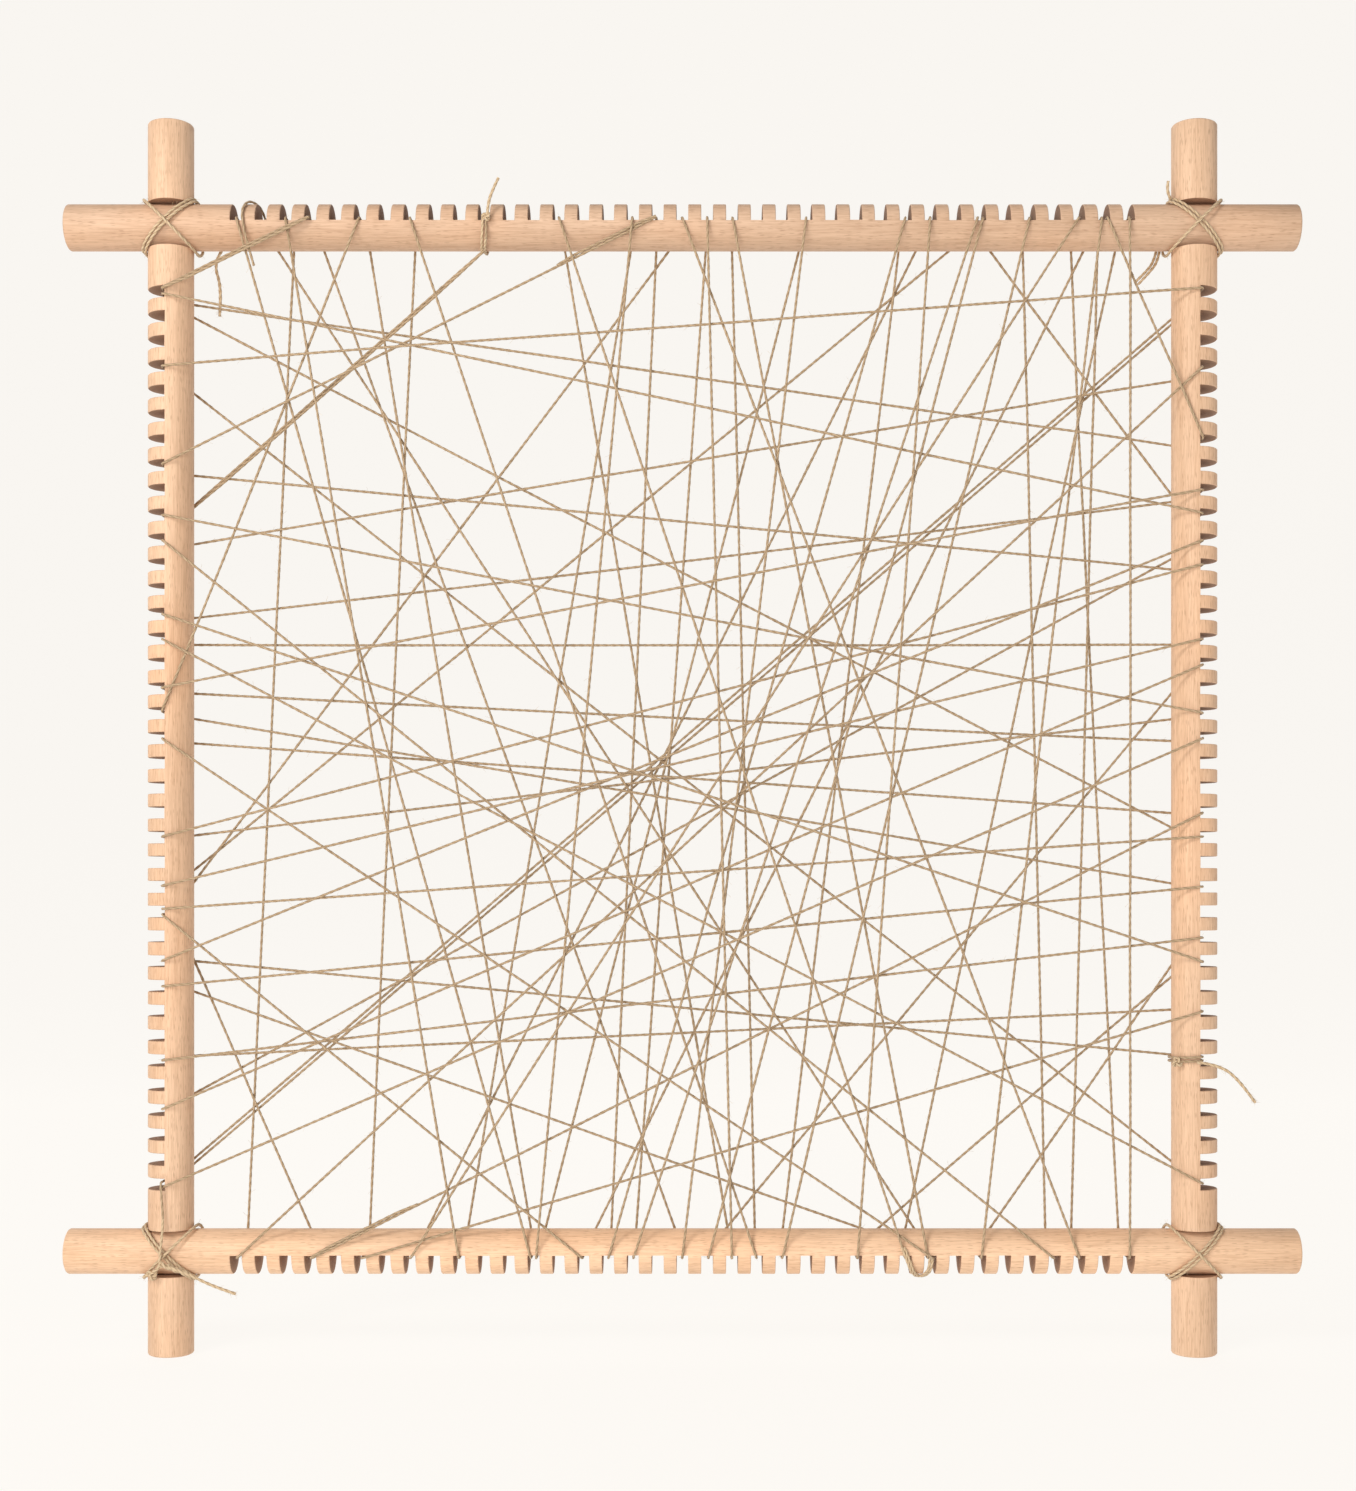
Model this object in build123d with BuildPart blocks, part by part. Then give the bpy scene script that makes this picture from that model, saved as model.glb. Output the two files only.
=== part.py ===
"""Tapestry frame loom: four notched dowels, lap-jointed and lashed, wound with a crossing warp.

Millimetres. The loom stands upright on the lower ends of its stiles: +Z is up, +X is to the
right as the weaver faces it, and the front is at -Y. The origin is under the middle of the
loom, at the height of the stiles' lower ends.
"""

from build123d import *
import math
import os

os.makedirs("parts", exist_ok=True)

# Frame: four dowels of the same stock
dowel_diameter = 22.0
rail_length = 600.0
stile_length = 600.0
rail_spacing = 500.0  # between the centre lines of the top and bottom rails
stile_spacing = 500.0  # between the centre lines of the left and right stiles
lap_clearance = 0.1  # between a lap's shoulder and the dowel that fills it
end_chamfer = 0.8

# Comb of notches along the outer side of each dowel
notch_pitch = 12.0
notch_count = 37
notch_width = 5.6
notch_depth = 10.5

# Twine
twine_diameter = 1.6
arris_room = 0.25  # between a bend in the twine and the notch edge that it rounds
crossing_gap = 0.2  # left between two runs where they cross
pass_spacing = 2.6  # between two passes of twine that share a notch
pull_shift = 1.3  # how far a lone pass leans towards the side that its runs pull
largest_bend = 150.0
end_grip = 8.0  # how far past a notch's edge the twine is held at its own height

# Lashings at the four corners
armpit_room = 0.8  # between a lashing and the wood in the corner between rail and stile
turn_spacing = 1.8  # between two turns that lie side by side or one over the other

# Free ends
start_tail_drop = 31.0  # below the top rail
stile_tail_reach = 30.0
corner_tail_reach = 32.0

dowel_radius = dowel_diameter / 2
twine_radius = twine_diameter / 2
half_width = stile_spacing / 2
bottom_height = (stile_length - rail_spacing) / 2
top_height = bottom_height + rail_spacing
middle_height = stile_length / 2
half_comb = (notch_count - 1) / 2 * notch_pitch
floor_rise = dowel_radius - notch_depth  # the notch floor lies this far outward of the axis
pass_rise = floor_rise + twine_radius + arris_room
face_offset = dowel_radius + twine_radius + arris_room  # a run's distance from the axis plane
clear_gap = twine_diameter + crossing_gap


def save(part, label):
    """Labels a finished piece and writes its file."""
    part.label = label
    export_step(part, f"parts/{label}.step")
    print(f"{label}: {len(part.solids())} solid, {part.volume:.0f} mm3")


# %% Dowels. Each is drawn along the Z of a plane whose X points to the notched side.
def notched_dowel(plane, length, crossing_spacing, lap_side):
    """A dowel with its comb and two half laps; lap_side says which half the laps take away."""
    with BuildPart(plane) as dowel:
        Cylinder(dowel_radius, length)
        chamfer(dowel.edges().filter_by(GeomType.CIRCLE), end_chamfer)
        comb = [(2 * dowel_radius, 0, (k * notch_pitch) - half_comb) for k in range(notch_count)]
        with Locations(*comb):
            notch_reach = 2 * (2 * dowel_radius - floor_rise)
            Box(notch_reach, 3 * dowel_radius, notch_width, mode=Mode.SUBTRACT)
        laps = [(0, lap_side * dowel_radius, end * crossing_spacing / 2) for end in (-1, 1)]
        with Locations(*laps):
            lap_width = dowel_diameter + 2 * lap_clearance
            Box(3 * dowel_radius, dowel_diameter, lap_width, mode=Mode.SUBTRACT)
    return dowel.part


top_plane = Plane(origin=(0, 0, top_height), x_dir=(0, 0, 1), z_dir=(1, 0, 0))
bottom_plane = Plane(origin=(0, 0, bottom_height), x_dir=(0, 0, -1), z_dir=(1, 0, 0))
left_plane = Plane(origin=(-half_width, 0, middle_height), x_dir=(-1, 0, 0), z_dir=(0, 0, 1))
right_plane = Plane(origin=(half_width, 0, middle_height), x_dir=(1, 0, 0), z_dir=(0, 0, 1))

# The rails keep their front halves at the joints and the stiles keep their back halves.
save(notched_dowel(top_plane, rail_length, stile_spacing, -top_plane.y_dir.Y), "top_rail")
save(notched_dowel(bottom_plane, rail_length, stile_spacing, -bottom_plane.y_dir.Y), "bottom_rail")
save(notched_dowel(left_plane, stile_length, rail_spacing, left_plane.y_dir.Y), "left_stile")
save(notched_dowel(right_plane, stile_length, rail_spacing, right_plane.y_dir.Y), "right_stile")

# %% The warp. Notches count from the left along T and B, and from the top along L and R.
# Each length passes through its notches in turn, and changes face at every one.
first_length = (
    "T1 B13 T6 L18 R25 L29 B29 T21 B22 T8 B6 R30 L32 R27 B31 T36 B15 L26 B4 R22 L19 B29"
).split()
second_length = (
    "L10 R18 L23 R12 L8 T18 B16 T28 B23 T33 B34 L11 R4 B1 T3 B10 T17 B13 T24 B19 T4 L1 R7"
    " T36 B35 T19 L26 R23 L1 R10 T31 B20 R16 L34 R11 L28 R32"
).split()
third_length = (
    "L37 R1 L4 R37 L15 R15 L25 T31 B17 T20 B21 T14 B28 T37 B37 T35 B8 T29 B26 R28 L14 R9"
    " L17 R19 L37 R1"
).split()
FRONT, BACK = -1, 1
# Each length's notches, and the face that its first run lies on
lengths = [(first_length, FRONT), (second_length, FRONT), (third_length, BACK)]
knotted_notch = "T11"  # the second length is tied here, and comes to its first notch from it


def outward(notch):
    """The direction from a notch's dowel axis out through the notch, in X and Z."""
    return {"T": (0, 1), "B": (0, -1), "L": (-1, 0), "R": (1, 0)}[notch[0]]


def along(notch):
    """The direction in which a notch's sideways offset is measured, in X and Z."""
    return (1, 0) if notch[0] in "TB" else (0, 1)


def axis_point(notch):
    """The point on the dowel's axis level with the notch, in X and Z."""
    step = (int(notch[1:]) - 1) * notch_pitch
    if notch[0] in "TB":
        return (step - half_comb, top_height if notch[0] == "T" else bottom_height)
    side = -half_width if notch[0] == "L" else half_width
    return (side, middle_height + half_comb - step)


def lean(notch, other):
    """How far a run leans along the notch's dowel for each unit that it goes inward."""
    here, there = axis_point(notch), axis_point(other)
    delta = (there[0] - here[0], there[1] - here[1])
    inward = -(delta[0] * outward(notch)[0] + delta[1] * outward(notch)[1])
    return (delta[0] * along(notch)[0] + delta[1] * along(notch)[1]) / inward


def pass_offsets():
    """Sideways place of each pass in its notch, ordered by the way its runs pull it."""
    pulls = {}
    for which, (notches, _) in enumerate(lengths):
        for k, notch in enumerate(notches):
            beside = [notches[j] for j in (k - 1, k + 1) if 0 <= j < len(notches)]
            pull = sum(lean(notch, other) for other in beside) / len(beside)
            pulls.setdefault(notch, []).append((pull, which, k))
    offsets = {}
    for passes in pulls.values():
        for place, (pull, which, k) in enumerate(sorted(passes)):
            if len(passes) == 1:
                offsets[which, k] = pull_shift * pull / (1 + abs(pull))
            else:
                offsets[which, k] = (place - (len(passes) - 1) / 2) * pass_spacing
    return offsets


def corner_point(notch, offset):
    """Where a pass turns from the notch floor into its run, in X and Z."""
    centre, side, out = axis_point(notch), along(notch), outward(notch)
    return tuple(centre[i] + side[i] * offset + out[i] * pass_rise for i in (0, 1))


def crossing(a, b, c, d):
    """Where segments a-b and c-d cross, as a fraction of each, or None."""
    r = (b[0] - a[0], b[1] - a[1])
    s = (d[0] - c[0], d[1] - c[1])
    turn = r[0] * s[1] - r[1] * s[0]
    if abs(turn) < 1e-9:
        return None
    gap = (c[0] - a[0], c[1] - a[1])
    t = (gap[0] * s[1] - gap[1] * s[0]) / turn
    u = (gap[0] * r[1] - gap[1] * r[0]) / turn
    return (t, u) if 0 < t < 1 and 0 < u < 1 else None


def dowel_room(point):
    """How far off the frame's middle plane a run must lie where it passes a point."""
    away = [abs(point[0] - half_width), abs(point[0] + half_width)]
    away += [abs(point[1] - top_height), abs(point[1] - bottom_height)]
    reach = dowel_radius + twine_radius + 0.9 * arris_room
    return math.sqrt(max(0, reach**2 - min(away) ** 2))


def weave(runs):
    """Finds how far off the middle plane each run lies where it crosses the others.

    A run is (face, start, end). Every run is a taut string. Where two on one face cross, the
    later lies outside the earlier, and both give way until their pulls balance.
    """
    level = face_offset
    ys, bounds, places = [], [], []
    chains = [[] for _ in runs]
    pairs = []

    def node(run, fraction):
        _, a, b = runs[run]
        point = (a[0] + (b[0] - a[0]) * fraction, a[1] + (b[1] - a[1]) * fraction)
        ys.append(0.0)
        bounds.append(dowel_room(point) - level)
        places.append(point)
        chains[run].append((fraction, len(ys) - 1))
        return len(ys) - 1

    def nearest(run, fraction):
        """The node at a place on a run: its end's own node where the place is close to it."""
        size = math.dist(runs[run][1], runs[run][2])
        if fraction * size < 5:
            return ends[run][0]
        if (1 - fraction) * size < 5:
            return ends[run][1]
        return node(run, fraction)

    ends = [(node(k, 0), node(k, 1)) for k in range(len(runs))]
    for j, (face, c, d) in enumerate(runs):
        for i in range(j):
            hit = crossing(runs[i][1], runs[i][2], c, d) if runs[i][0] == face else None
            if not hit:
                continue
            pairs.append((nearest(i, hit[0]), nearest(j, hit[1]), clear_gap))
            # Runs that cross at a narrow angle touch for some way to each side.
            first, second = Vector(*runs[i][1]) - Vector(*runs[i][2]), Vector(*c) - Vector(*d)
            turn = math.radians(first.get_angle(second))
            if abs(math.sin(turn)) > 0.2:
                continue
            reach = 0.6 * clear_gap / abs(math.sin(turn))
            way = 1 if math.cos(turn) > 0 else -1
            for step in (-reach, reach):
                one = hit[0] + way * step / first.length
                other = hit[1] + step / second.length
                if 0 < one < 1 and 0 < other < 1:
                    pairs.append((nearest(i, one), nearest(j, other), 0.85 * clear_gap))

    # Close to a dowel a run must also clear its round face.
    for k, (_, a, b) in enumerate(runs):
        size = math.dist(a, b)
        for share in (6, 10, 15, 21, 28):
            if share < size / 3:
                node(k, share / size)
                node(k, 1 - share / size)

    sides = [[] for _ in ys]
    for run, chain in enumerate(chains):
        chain.sort()
        for (_, p), (_, q) in zip(chain, chain[1:]):
            stiffness = 1 / max(0.5, math.dist(places[p], places[q]))
            sides[p].append((q, stiffness))
            sides[q].append((p, stiffness))
    fixed = {n for pair in ends for n in pair}
    for n in fixed:
        bounds[n] = 0.0
    free = sorted(set(range(len(ys))) - fixed - {n for pair in pairs for n in pair[:2]})

    def rest(n):
        pull = sum(w * ys[m] for m, w in sides[n])
        total = sum(w for _, w in sides[n])
        if n in fixed:
            total += 1 / end_grip
        return pull / total, total

    for _ in range(600):
        for n in [*fixed, *free]:
            ys[n] = max(bounds[n], rest(n)[0])
        for under, over, gap in pairs:
            low, low_weight = rest(under)
            high, high_weight = rest(over)
            if high - low < gap:
                both = low_weight + high_weight
                low = (low_weight * low + high_weight * (high - gap)) / both
            ys[under] = max(low, bounds[under])
            ys[over] = max(high, bounds[over], ys[under] + gap)
    for under, over, gap in pairs:
        ys[over] = max(ys[over], ys[under] + gap)
    for _ in range(20):
        for n in free:
            ys[n] = max(bounds[n], rest(n)[0])
    return [[(places[n], ys[n]) for _, n in chain] for chain in chains]


def thinned(chain, slack=0.03):
    """Leaves out the points of a run that lie on a straight line between their neighbours."""
    kept = list(chain)
    while len(kept) > 2:
        misses = []
        for (a, low), (b, mid), (c, high) in zip(kept, kept[1:], kept[2:]):
            share = math.dist(a, b) / math.dist(a, c)
            misses.append(abs(mid - low - (high - low) * share))
        least = min(misses)
        if least > slack:
            break
        del kept[misses.index(least) + 1]
    return kept


def bend_radii(points):
    """The largest arc that fits at each inner point: a tight one only at a notch's edge."""
    radii = []
    for a, b, c in zip(points, points[1:], points[2:]):
        a, b, c = Vector(*a), Vector(*b), Vector(*c)
        half_turn = math.radians((b - a).get_angle(c - b)) / 2
        shorter = min((b - a).length, (c - b).length)
        if half_turn > math.radians(35):
            radii.append(twine_diameter)
        else:
            radii.append(min(largest_bend, 0.4 * shorter / math.tan(half_turn)))
    return radii


def swept(label, *stretches):
    """One length of twine. Each stretch is a list of points, and starts where the last ended."""
    with BuildPart() as cord:
        with BuildLine() as path:
            for points in stretches:
                FilletPolyline(*points, radius=bend_radii(points))
        route = path.wire()
        with BuildSketch(Plane(origin=route @ 0, z_dir=route % 0)):
            Circle(twine_radius)
        sweep(path=route)
    save(cord.part, label)


def at(point, y):
    """A place in X and Z at a distance y behind the middle plane."""
    return (point[0], y, point[1])


offsets = pass_offsets()
runs, owners = [], []
for which, (notches, face) in enumerate(lengths):
    for k, (here, there) in enumerate(zip(notches, notches[1:])):
        ends = (corner_point(here, offsets[which, k]), corner_point(there, offsets[which, k + 1]))
        runs.append((face, *ends))
        owners.append(which)
        face = -face

# The first length's last run goes up behind the second notch, over the tooth beside it, and
# down the front next to its own first run.
tooth_start = axis_point("T2")[0] - 1
tooth_end = axis_point("T1")[0] + 2.8
last_start = corner_point("B29", offsets[0, len(first_length) - 1])
_, first_top, first_foot = runs[0]
first_slope = (first_foot[0] - first_top[0]) / (first_top[1] - first_foot[1])
end_drop = 22.0
tied_end = (tooth_end + first_slope * end_drop, top_height - end_drop)
loop_place = owners.index(1)
runs.insert(loop_place, (BACK, last_start, (tooth_start, top_height)))
runs.insert(loop_place + 1, (FRONT, (tooth_end, top_height), tied_end))
owners[loop_place:loop_place] = [0, 0]
chains = [thinned(chain) for chain in weave(runs)]

stretches = [[], [], []]
for (face, start, end), owner, chain in zip(runs, owners, chains):
    places = [at(point, face * (face_offset + y)) for point, y in chain]
    stretches[owner].append([at(start, 0), *places, at(end, 0)])


def around(start, finish, side, height):
    """Points of a half turn that passes over the wood from one place in X and Z to another."""
    turns = [(0, 0.414), (0.293, 1), (0.707, 1), (1, 0.414)]
    points = []
    for share, rise in turns:
        place = [start[i] + (finish[i] - start[i]) * share for i in (0, 1)]
        points.append(at(place, side * rise * height))
    return points


# The first length's end goes over the tooth.
top_of_tooth = top_height + face_offset
over_tooth = [
    (tooth_start - 0.4, face_offset, top_height + 0.414 * face_offset),
    (tooth_start - 2.2, 0.414 * face_offset, top_of_tooth),
    (tooth_end + 2.2, -0.414 * face_offset, top_of_tooth),
    (tooth_end, -face_offset, top_height + 0.414 * face_offset),
]
down_front = stretches[0].pop()
up_back = stretches[0].pop()
stretches[0].append([*up_back[:-1], *over_tooth, *down_front[2:-1]])

# The second length starts with a turn round the top rail in its notch, and leaves from below.
knot = axis_point(knotted_notch)
knot_top = knot[1] + pass_rise
under_rail = knot[1] - face_offset - 0.1
turn_round_rail = [
    (knot[0] + 1.2, -face_offset, knot[1] - 9),
    (knot[0] + 1.0, -face_offset, knot_top),
    (knot[0] + 0.4, face_offset, knot_top),
    (knot[0] + 0.2, face_offset, knot[1] - 0.414 * face_offset),
    (knot[0], 0.414 * face_offset, under_rail),
    (knot[0] - 0.6, -4, under_rail),
]
arrival = runs[owners.index(1)][1]
stretches[1].insert(0, [*turn_round_rail, at(arrival, face_offset), at(arrival, 0)])

# It ends with two turns round the right stile, in the notch that its last run comes to.
turn_notch = axis_point("R32")
notch_side = turn_notch[0] + pass_rise
inner_side = turn_notch[0] - face_offset


def stile_turn(height):
    """One turn from the notch floor round the stile and back into the notch, a step lower."""
    step = turn_spacing
    return [
        (notch_side, 0, height),
        (notch_side, -face_offset, height),
        (turn_notch[0] - 0.414 * face_offset, -face_offset, height - 0.25 * step),
        (inner_side, -0.414 * face_offset, height - 0.4 * step),
        (inner_side, 0.414 * face_offset, height - 0.6 * step),
        (turn_notch[0] - 0.414 * face_offset, face_offset, height - 0.75 * step),
        (notch_side, face_offset, height - step),
        (notch_side, 0, height - step),
    ]


arriving = turn_notch[1] + turn_spacing
last_stretch = stretches[1].pop()
stretches[1].append([
    *last_stretch[:-2],
    (notch_side, face_offset, arriving),
    (notch_side, 0, arriving),
])
stretches[1] += [stile_turn(arriving), stile_turn(arriving - turn_spacing)]

# The third length starts at the corner lashing, up the front of the left stile.
corner_level = -face_offset - clear_gap  # it passes over the run that leaves the same notch
corner_start = (-half_width - 0.4, corner_level, bottom_height + dowel_radius + 7)
first_notch = runs[owners.index(2)][1]
stretches[2].insert(0, [corner_start, at(first_notch, corner_level), at(first_notch, 0)])

swept("warp_first", *stretches[0])
swept("warp_second", *stretches[1])
swept("warp_third", *stretches[2])


# %% Lashings. Two turns lie along one diagonal of the joint and a third crosses over them.
def lashing(label, side, end):
    """The lashing at one corner; side and end say which way the corner faces in X and Z."""
    centre = (side * half_width, bottom_height if end < 0 else top_height)
    reach = dowel_radius + twine_radius + armpit_room
    apart = turn_spacing / 2 / math.sqrt(2)

    def corner(x, z, shift):
        """A place between rail and stile, shifted across the diagonal by half a turn."""
        across = (-z * apart * shift, x * apart * shift)
        place = (x * reach + across[0], z * reach + across[1])
        return (centre[0] - side * place[0], centre[1] + end * place[1])

    high = reach + turn_spacing
    low_left, low_left_again = corner(-1, -1, 1), corner(-1, -1, -1)
    up_right, up_right_again = corner(1, 1, -1), corner(1, 1, 1)
    up_left, low_right = corner(-1, 1, 0), corner(1, -1, 0)
    below = ((low_left[0] + low_right[0]) / 2, low_left[1])
    behind = around(below, low_left, BACK, reach)[1:]
    beside = around(low_right, (low_right[0], centre[1]), BACK, reach)
    turns = [
        behind + around(low_left, up_right, FRONT, reach),
        around(up_right, low_left_again, BACK, reach),
        around(low_left_again, up_right_again, FRONT, reach),
        around(up_right_again, up_left, BACK, reach),
        around(up_left, low_right, FRONT, high),
        beside[:2],
    ]
    swept(label, [point for turn in turns for point in turn])


lashing("lashing_top_left", -1, 1)
lashing("lashing_top_right", 1, 1)
lashing("lashing_bottom_left", -1, -1)
lashing("lashing_bottom_right", 1, -1)


# %% Free ends of the twine. Limp twine bends no tighter than three diameters, save at an edge.
def free_end(label, points):
    """A loose end: straight runs joined by arcs, each as large as the runs beside it allow."""
    radii = []
    for a, b, c in zip(points, points[1:], points[2:]):
        a, b, c = Vector(*a), Vector(*b), Vector(*c)
        half_turn = math.radians((b - a).get_angle(c - b)) / 2
        shorter = min((b - a).length, (c - b).length)
        radii.append(0.45 * shorter / math.tan(half_turn))
    print(f"{label}: bend radii {[round(radius, 1) for radius in radii]} mm")
    with BuildPart() as cord:
        with BuildLine() as path:
            FilletPolyline(*points, radius=radii)
        route = path.wire()
        with BuildSketch(Plane(origin=route @ 0, z_dir=route % 0)):
            Circle(twine_radius)
        sweep(path=route)
    save(cord.part, label)


start_notch = runs[0][1]
hang = face_offset + turn_spacing + 0.8  # clear of the runs on the back
below_rail = top_height - dowel_radius
free_end("tail_start", [
    at(start_notch, 0.4),
    (start_notch[0] - 0.2, face_offset + 0.6, start_notch[1]),
    (start_notch[0] - 10, hang, top_height - 2),
    (start_notch[0] - 17, hang, below_rail - 2),
    (start_notch[0] - 13, hang + 0.5, below_rail - 14),
    (start_notch[0] - 14, hang, below_rail + 3 - start_tail_drop),
])
stile_front = -face_offset - turn_spacing - 0.3
free_end("tail_stile", [
    (half_width - 2, stile_front, turn_notch[1] - 0.6),
    (half_width + 7, stile_front - 0.6, turn_notch[1] - 1.6),
    (half_width + 17, stile_front - 1, turn_notch[1] - 7.5),
    (half_width - 4 + stile_tail_reach, stile_front, turn_notch[1] - 20),
])
corner_front = -(dowel_radius + twine_radius + armpit_room + 2 * turn_spacing + 1)
free_end("tail_corner", [
    (-half_width + 3, corner_front, bottom_height - 4.5),
    (-half_width + 13, corner_front - 0.8, bottom_height - 8),
    (-half_width + 24, corner_front + 0.6, bottom_height - 14),
    (-half_width + 3 + corner_tail_reach, corner_front + 2, bottom_height - 18),
])
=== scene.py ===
# %% [markdown]
# # A frame loom of notched dowels, wound with crossing twine
# The loom is four beech dowels, joined by half laps and tied at the corners. Twine runs from
# notch to notch across the frame, on the front and the back in turn. This notebook builds the
# wood, then the twine, then the small things that make it look handled: knots, loose ends and
# stray fibres. Every cell can be read alone, and prints what it made.
# %% Load the frame
import bmesh
import bpy
import math
import random
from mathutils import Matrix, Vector


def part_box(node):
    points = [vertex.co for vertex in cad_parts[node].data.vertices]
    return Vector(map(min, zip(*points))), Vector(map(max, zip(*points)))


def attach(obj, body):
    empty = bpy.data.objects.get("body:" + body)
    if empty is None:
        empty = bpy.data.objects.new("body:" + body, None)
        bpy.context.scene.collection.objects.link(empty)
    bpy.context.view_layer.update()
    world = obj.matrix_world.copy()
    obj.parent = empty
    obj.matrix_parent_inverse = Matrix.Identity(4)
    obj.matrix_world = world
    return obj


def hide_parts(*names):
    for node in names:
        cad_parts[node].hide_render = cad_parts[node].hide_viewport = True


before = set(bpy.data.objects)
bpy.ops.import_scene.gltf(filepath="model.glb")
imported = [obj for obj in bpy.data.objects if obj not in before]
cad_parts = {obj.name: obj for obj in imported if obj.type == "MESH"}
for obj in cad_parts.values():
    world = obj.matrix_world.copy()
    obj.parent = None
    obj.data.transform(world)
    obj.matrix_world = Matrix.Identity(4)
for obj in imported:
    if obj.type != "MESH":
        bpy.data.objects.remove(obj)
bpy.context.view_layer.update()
MM = 0.001
print("CAD nodes:", sorted(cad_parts))

# %% [markdown]
# ## Sizes
# The dowels' places come from the CAD boxes, so the wood lands where the CAD has it. The comb
# of notches and the twine have their own values, the same ones that the CAD was drawn with.
# Lengths in the helpers below are millimetres, and become metres when a mesh is made.
# %% Sizes of the frame, the comb and the twine
stile_low, stile_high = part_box("left_stile")
rail_low, rail_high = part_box("top_rail")
under_low, under_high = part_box("bottom_rail")
DOWEL_RADIUS = (stile_high[1] - stile_low[1]) / 2 / MM
STILE_LENGTH = (stile_high[2] - stile_low[2]) / MM
RAIL_LENGTH = (rail_high[0] - rail_low[0]) / MM
HALF_WIDTH = -(stile_low[0] + stile_high[0]) / 2 / MM
TOP_HEIGHT = (rail_low[2] + rail_high[2]) / 2 / MM
BOTTOM_HEIGHT = (under_low[2] + under_high[2]) / 2 / MM
MIDDLE_HEIGHT = (TOP_HEIGHT + BOTTOM_HEIGHT) / 2

NOTCH_PITCH = 12.0
NOTCH_COUNT = 37
NOTCH_WIDTH = 5.6
NOTCH_DEPTH = 10.5
LAP_CLEARANCE = 0.1
TWINE_DIAMETER = 1.6
ARRIS_ROOM = 0.25
CROSSING_GAP = 0.2
PASS_SPACING = 2.6
PULL_SHIFT = 1.3
END_GRIP = 8.0
ARMPIT_ROOM = 0.8
TURN_SPACING = 1.8

TWINE_RADIUS = TWINE_DIAMETER / 2
HALF_COMB = (NOTCH_COUNT - 1) / 2 * NOTCH_PITCH
FLOOR_RISE = DOWEL_RADIUS - NOTCH_DEPTH
PASS_RISE = FLOOR_RISE + TWINE_RADIUS + ARRIS_ROOM
FACE_OFFSET = DOWEL_RADIUS + TWINE_RADIUS + ARRIS_ROOM
CLEAR_GAP = TWINE_DIAMETER + CROSSING_GAP
FRONT, BACK = -1, 1
print(f"dowel radius {DOWEL_RADIUS:.1f}, rails {RAIL_LENGTH:.0f}, laps {2 * HALF_WIDTH:.0f} apart")

# %% [markdown]
# ## Camera
# The camera stands a metre in front, level, a little below the loom's middle, and its picture
# plane is parallel to the loom. A small shift moves the picture up instead of tilting the
# camera, so the stiles stay parallel.
# %% Camera
CAMERA_PLACE = (7.0, -1000.0, 225.0)
camera_data = bpy.data.cameras.new("camera")
camera_data.sensor_width = 36.0
camera_data.lens = 49.4
camera_data.shift_x = -0.0127
camera_data.shift_y = 0.0989
camera = bpy.data.objects.new("camera", camera_data)
camera.location = Vector(CAMERA_PLACE) * MM
camera.rotation_euler = (math.radians(90), 0, 0)
bpy.context.scene.collection.objects.link(camera)
bpy.context.scene.camera = camera
print("camera", tuple(round(v, 3) for v in camera.location))

# %% [markdown]
# ## Node helpers
# Materials and Geometry Nodes trees are both graphs of nodes joined by links. These helpers
# keep the cells that follow short: one adds a node and feeds its inputs, one makes a group with
# its named sockets, and a few stand for nodes that are used again and again.
# %% Helpers for node trees, materials and objects
def feed(tree, node, inputs):
    """Sets or links a node's inputs, by name or number."""
    for name, value in inputs.items():
        socket = node.inputs[name]
        if isinstance(value, bpy.types.NodeSocket):
            tree.links.new(value, socket)
        else:
            socket.default_value = value


def add_node(tree, kind, inputs=None, **settings):
    """Adds a node, sets its properties and feeds its inputs."""
    node = tree.nodes.new(kind)
    for name, value in settings.items():
        setattr(node, name, value)
    feed(tree, node, inputs or {})
    return node


def result(tree, kind, inputs=None, **settings):
    """Adds a node and returns its first output."""
    return add_node(tree, kind, inputs, **settings).outputs[0]


def new_group(name, kind, ins, outs):
    """A group with inputs (name, kind, default) and outputs (name, kind), and its end nodes."""
    group = bpy.data.node_groups.new(name, kind)
    for way, rows in (("INPUT", ins), ("OUTPUT", outs)):
        for label, sort, *default in rows:
            socket = group.interface.new_socket(name=label, in_out=way, socket_type="NodeSocket" + sort)
            if default:
                socket.default_value = default[0]
    return group, add_node(group, "NodeGroupInput"), add_node(group, "NodeGroupOutput")


def new_material(name):
    """A material, with its node tree and its Principled node."""
    material = bpy.data.materials.new(name)
    material.use_nodes = True
    return material, material.node_tree, material.node_tree.nodes["Principled BSDF"]


def new_object(name, data):
    """An object in the scene."""
    made = bpy.data.objects.new(name, data)
    bpy.context.scene.collection.objects.link(made)
    return made


def maths(tree, operation, first, second=0.0):
    """One Math node; each operand is a number or a socket."""
    return result(tree, "ShaderNodeMath", {0: first, 1: second}, operation=operation)


def times(tree, first, second):
    """A product; each factor is a number or a socket."""
    return maths(tree, "MULTIPLY", first, second)


def scaled(tree, vector, factors):
    """A vector multiplied by three factors, which stretches a pattern that reads it."""
    return result(tree, "ShaderNodeVectorMath", {0: vector, 1: factors}, operation="MULTIPLY")


def mixed(tree, share, first, second, blend="MIX"):
    """A mix of two colours."""
    ins = {0: share, 6: first, 7: second}
    return add_node(tree, "ShaderNodeMix", ins, data_type="RGBA", blend_type=blend).outputs[2]


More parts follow.
